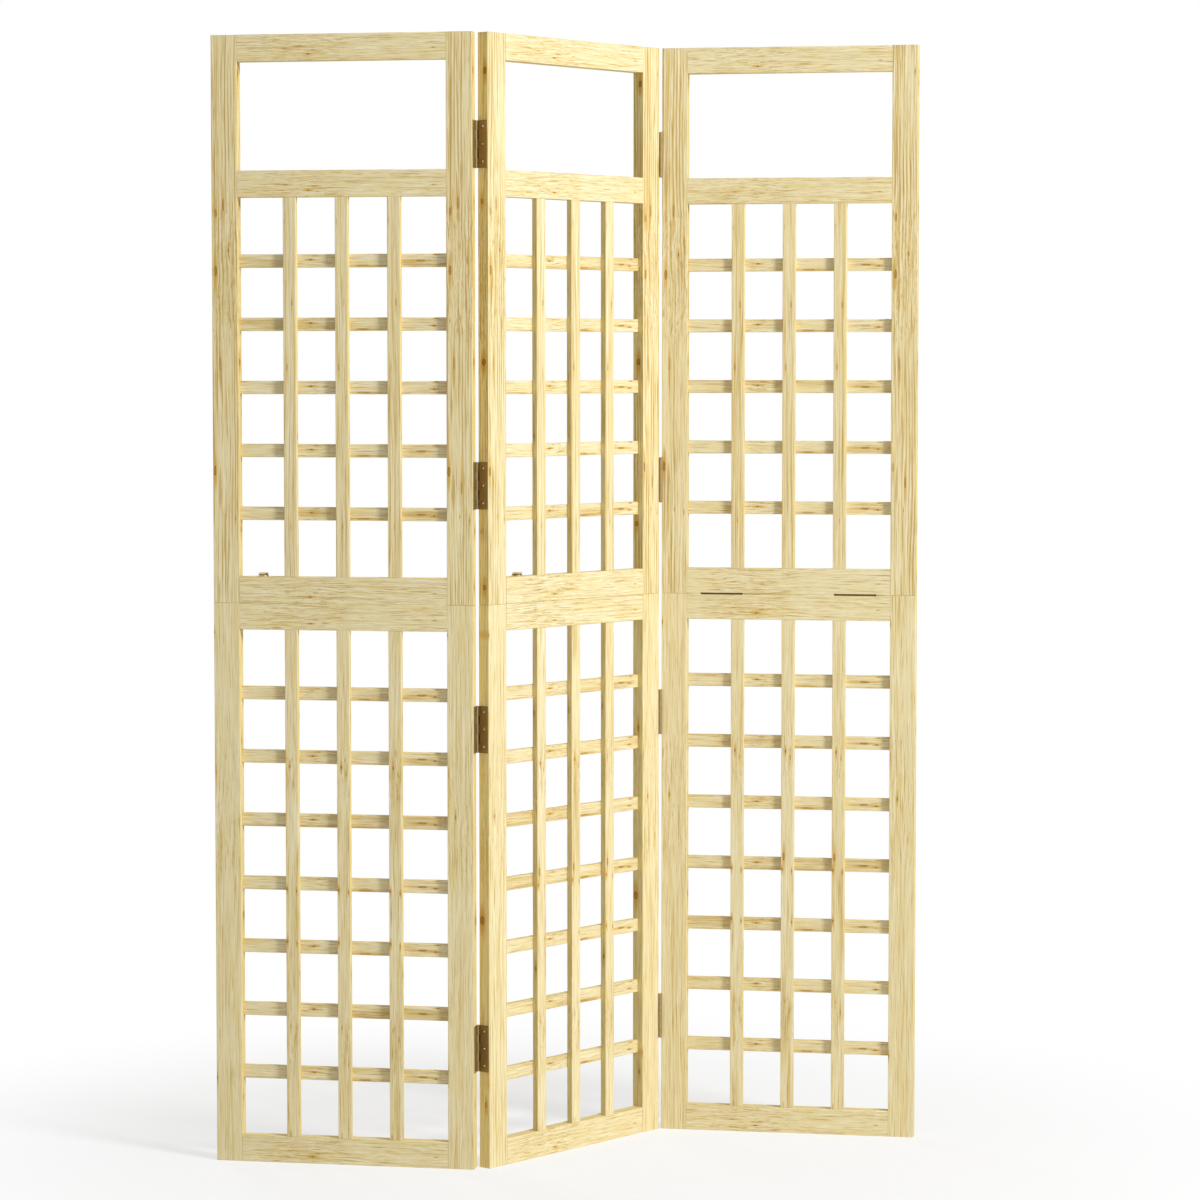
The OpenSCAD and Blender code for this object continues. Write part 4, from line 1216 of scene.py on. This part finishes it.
class SCREEN_OT_bolts(bpy.types.Operator):
    """Makes the two lock bolts with their threads, washers and threaded inserts"""

    bl_idname = "screen.bolts"
    bl_label = "Lock bolts"

    thread_depth, pitch, plain_l, run_out = 0.68 * MM, 1.25 * MM, 22 * MM, 0.6 * MM
    tip_bevel, thread_start, thread_spare, thread_sunk = 0.8 * MM, 1.2 * MM, 2 * MM, 0.1 * MM
    coil_steps, crest, ridge_w = 20, (0.44, 0.56), 0.98
    top_bevel, side_bevel = 0.55 * MM, 0.25 * MM
    # Painted shade at the foot of the head: the top of its band, the height where it has faded out, and its reach under
    # the head and over the band
    dirt_h, clean_h, dirt_under, dirt_over = 1.1 * MM, 2.0 * MM, 1 * MM, 0.1 * MM
    washer_room, washer_bevel = 0.25 * MM, 0.25 * MM
    insert_room, insert_play, insert_lead = 0.1 * MM, 0.02 * MM, 0.5 * MM
    insert_bevel, insert_mouth = 0.3 * MM, 0.6 * MM

    def head(self):
        """Hexagonal head on the bolt's origin, with lines for the painted shade at its foot to fade between"""
        size = sizes()
        tall, radius = size.bolt_head_h, size.bolt_head_w / math.sqrt(3)
        bm = bmesh.new()
        bmesh.ops.create_cone(bm, cap_ends=True, segments=6, radius1=radius, radius2=radius, depth=tall)
        bmesh.ops.translate(bm, verts=bm.verts[:], vec=(0, 0, tall / 2))
        for high in (self.dirt_h, self.clean_h):
            cut(bm, Vector((0, 0, high)), UP)
        bmesh.ops.rotate(bm, verts=bm.verts[:], cent=(0, 0, 0), matrix=Matrix.Rotation(math.pi / 6, 3, "Z"))
        soften(bm, [e for e in bm.edges if all(v.co.z > tall * 0.9 for v in e.verts)], self.top_bevel, segments=3)
        soften(bm, [e for e in bm.edges if abs(direction(e).z) > 0.95], self.side_bevel, segments=2)
        return bm

    def shank(self):
        size, root = sizes(), sizes().bolt_r - self.thread_depth
        return smooth_sides(lathed([
            (0, -size.bolt_l), (root - self.run_out, -size.bolt_l), (root, self.tip_bevel - size.bolt_l),
            (root, -self.plain_l - self.run_out), (size.bolt_r, -self.plain_l), (size.bolt_r, 0), (0, 0),
        ], steps=32))

    def thread(self):
        size, root = sizes(), sizes().bolt_r - self.thread_depth - self.thread_sunk
        turns = int((size.bolt_l - self.plain_l - self.thread_spare) / self.pitch)
        low = self.thread_start - size.bolt_l
        profile = [(root, 0.0), (size.bolt_r, self.crest[0]), (size.bolt_r, self.crest[1]), (root, self.ridge_w)]
        ridge = coiled([(r, low + self.pitch * up) for r, up in profile], turns, self.coil_steps, self.pitch)
        return smooth_sides(ridge, limit=25)

    def dirt(self, co):
        """Shade painted dark round the foot of the bolt's head, where it meets the washer"""
        return FULL_SHADE if -self.dirt_under < co.z < self.dirt_h + self.dirt_over else 0.0

    def washer(self):
        size, soft = sizes(), self.washer_bevel
        inner, outer, tall = size.bolt_r + self.washer_room, size.washer_r, size.washer_t
        return smooth_sides(lathed([
            (inner, soft), (inner + soft, 0), (outer - soft, 0), (outer, soft), (outer, tall - soft),
            (outer - soft, tall), (inner + soft, tall), (inner, tall - soft),
        ], steps=48, closed=True), limit=50)

    def insert(self):
        size = sizes()
        inner, outer, tall = size.bolt_r + self.insert_room, size.insert_r, size.insert_l
        side, lead, soft, mouth = outer - self.insert_play, self.insert_lead, self.insert_bevel, self.insert_mouth
        return smooth_sides(lathed([
            (inner, 0), (outer - lead, 0), (side, lead), (side, tall - soft),
            (outer - soft, tall), (inner + mouth, tall), (inner, tall - mouth),
        ], steps=48, closed=True))

    def execute(self, context):
        size = sizes()
        for number in (1, 2):
            floor = bay(1)[0]
            seat, on_floor, in_rail = (
                PANEL_AT[number] @ Matrix.Translation((bolt_u(), FRAME_T / 2, z))
                for z in (floor + size.washer_t, floor, half_span(0)[1] - size.insert_l)
            )
            parts = [(part, seat, 0.0, self.dirt) for part in (self.head(), self.shank(), self.thread())]
            build("threaded", f"lock_bolt_{number}", brass(), *parts)
            build("pressed", f"bolt_washer_{number}", brass(), (self.washer(), on_floor))
            build("turned", f"threaded_insert_{number}", brass(), (self.insert(), in_rail))
        return {"FINISHED"}


# ---------------------------------------------------------------- stage

# The camera was fitted to the edges of the gaps in the photograph, with the part's own sizes held
CAMERA_AT = (1.1040, -5.7944, 1.2116)
CAMERA_TURN = 0.18085
CAMERA_DIP = 0.06158
PHOTO_SIDE = 1200
FOCAL_PIXELS = 3852.75
SENSOR = 36.0
# Lights: name, place, what it points at, width and power
LIGHTS = (
    ("key", (5.2, -3.1, 4.6), (0, 0, 0.85), 1.6, 430),
    ("rim", (-3.5, 4.2, 3.4), (0, 0, 0.9), 2.5, 60),
)
SURROUNDINGS = 0.345  # How bright the surroundings light the screen. They look white all the same.
# The floor: half its width, and how white it looks near the screen and further away, from one reach to the other
FLOOR_SIZE, NEAR_WHITE, FAR_WHITE, WHITE_REACH = 30, 0.6, 1.0, (0.4, 1.3)


class SCREEN_OT_stage(bpy.types.Operator):
    """Sets the pale floor, the soft lights, the white surroundings and the camera"""

    bl_idname = "screen.stage"
    bl_label = "Stage"

    def seen(self, make):
        """1 for rays that show the surroundings: from the camera, in gloss and through glass"""
        path = make.node("ShaderNodeLightPath")
        return highest([make.out(path, f"Is {kind} Ray") for kind in ("Camera", "Glossy", "Transmission")])

    def floor(self):
        bm = bmesh.new()
        bmesh.ops.create_grid(bm, x_segments=1, y_segments=1, size=FLOOR_SIZE)
        mesh = bpy.data.meshes.new("floor")
        bm.to_mesh(mesh)
        bm.free()
        obj = bpy.data.objects.new("floor", mesh)
        bpy.context.scene.collection.objects.link(obj)
        make = Finish(bpy.data.materials.new("pale_floor"))
        place = make.out(make.node("ShaderNodeTexCoord"), "Object")
        reach = make.out(make.node("ShaderNodeVectorMath", {"operation": "LENGTH"}, _0=place), "Value")
        away = (reach.rise(*WHITE_REACH) * (FAR_WHITE - NEAR_WHITE) + NEAR_WHITE) * self.seen(make)
        matt = make.out(make.node("ShaderNodeBsdfDiffuse", Color=(*colours().floor, 1)))
        white = make.out(make.node("ShaderNodeEmission", Color=(1, 1, 1, 1), Strength=1.0))
        mesh.materials.append(make.close(make.node("ShaderNodeMixShader", Fac=away, _1=matt, _2=white)))

    def world(self):
        world = bpy.context.scene.world = bpy.data.worlds.new("studio")
        make = Finish(world)
        light = self.seen(make) * (1 - SURROUNDINGS) + SURROUNDINGS
        make.close(make.node("ShaderNodeBackground", Color=(1, 1, 1, 1), Strength=light), "ShaderNodeOutputWorld")

    def light(self, name, at, aim, size, power):
        data = bpy.data.lights.new(name, "AREA")
        data.shape, data.size, data.energy = "DISK", size, power
        obj = bpy.data.objects.new(name, data)
        obj.location = at
        obj.rotation_euler = (Vector(aim) - Vector(at)).to_track_quat("-Z", "Y").to_euler()
        bpy.context.scene.collection.objects.link(obj)

    def camera(self):
        data = bpy.data.cameras.new("camera")
        data.sensor_width = SENSOR
        data.lens = FOCAL_PIXELS * SENSOR / PHOTO_SIDE
        data.clip_start, data.clip_end = 0.05, 100
        obj = bpy.data.objects.new("camera", data)
        obj.location = CAMERA_AT
        obj.rotation_euler = (math.pi / 2 - CAMERA_DIP, 0, CAMERA_TURN)
        bpy.context.scene.collection.objects.link(obj)
        bpy.context.scene.camera = obj

    def execute(self, context):
        self.floor()
        self.world()
        for light in LIGHTS:
            self.light(*light)
        self.camera()
        context.scene.view_settings.view_transform = "Standard"
        return {"FINISHED"}


class SCREEN_PT_panel(bpy.types.Panel):
    """Sizes, colours and steps of the screen"""

    bl_idname = "SCREEN_PT_panel"
    bl_label = "Folding garden screen"
    bl_space_type = "VIEW_3D"
    bl_region_type = "UI"
    bl_category = "Garden screen"

    def draw(self, context):
        for title, group in (("Sizes", sizes()), ("Colours", colours())):
            box = self.layout.box()
            box.label(text=title)
            for name in group.__annotations__:
                box.prop(group, name)
        for step in STEPS:
            self.layout.operator(step.bl_idname)


STEPS = (
    SCREEN_OT_stiles, SCREEN_OT_rails, SCREEN_OT_lattice, SCREEN_OT_leaves, SCREEN_OT_pins, SCREEN_OT_screws,
    SCREEN_OT_bolts, SCREEN_OT_stage,
)
CLASSES = (ScreenSizes, ScreenColours, *STEPS, SCREEN_PT_panel)


def register():
    for cls in CLASSES:
        bpy.utils.register_class(cls)
    bpy.types.Scene.screen_sizes = PointerProperty(type=ScreenSizes)
    bpy.types.Scene.screen_colours = PointerProperty(type=ScreenColours)


def unregister():
    del bpy.types.Scene.screen_sizes
    del bpy.types.Scene.screen_colours
    for cls in reversed(CLASSES):
        bpy.utils.unregister_class(cls)


def main():
    register()
    for step in STEPS:
        area, name = step.bl_idname.split(".")
        getattr(getattr(bpy.ops, area), name)()


if __name__ == "__main__":
    main()
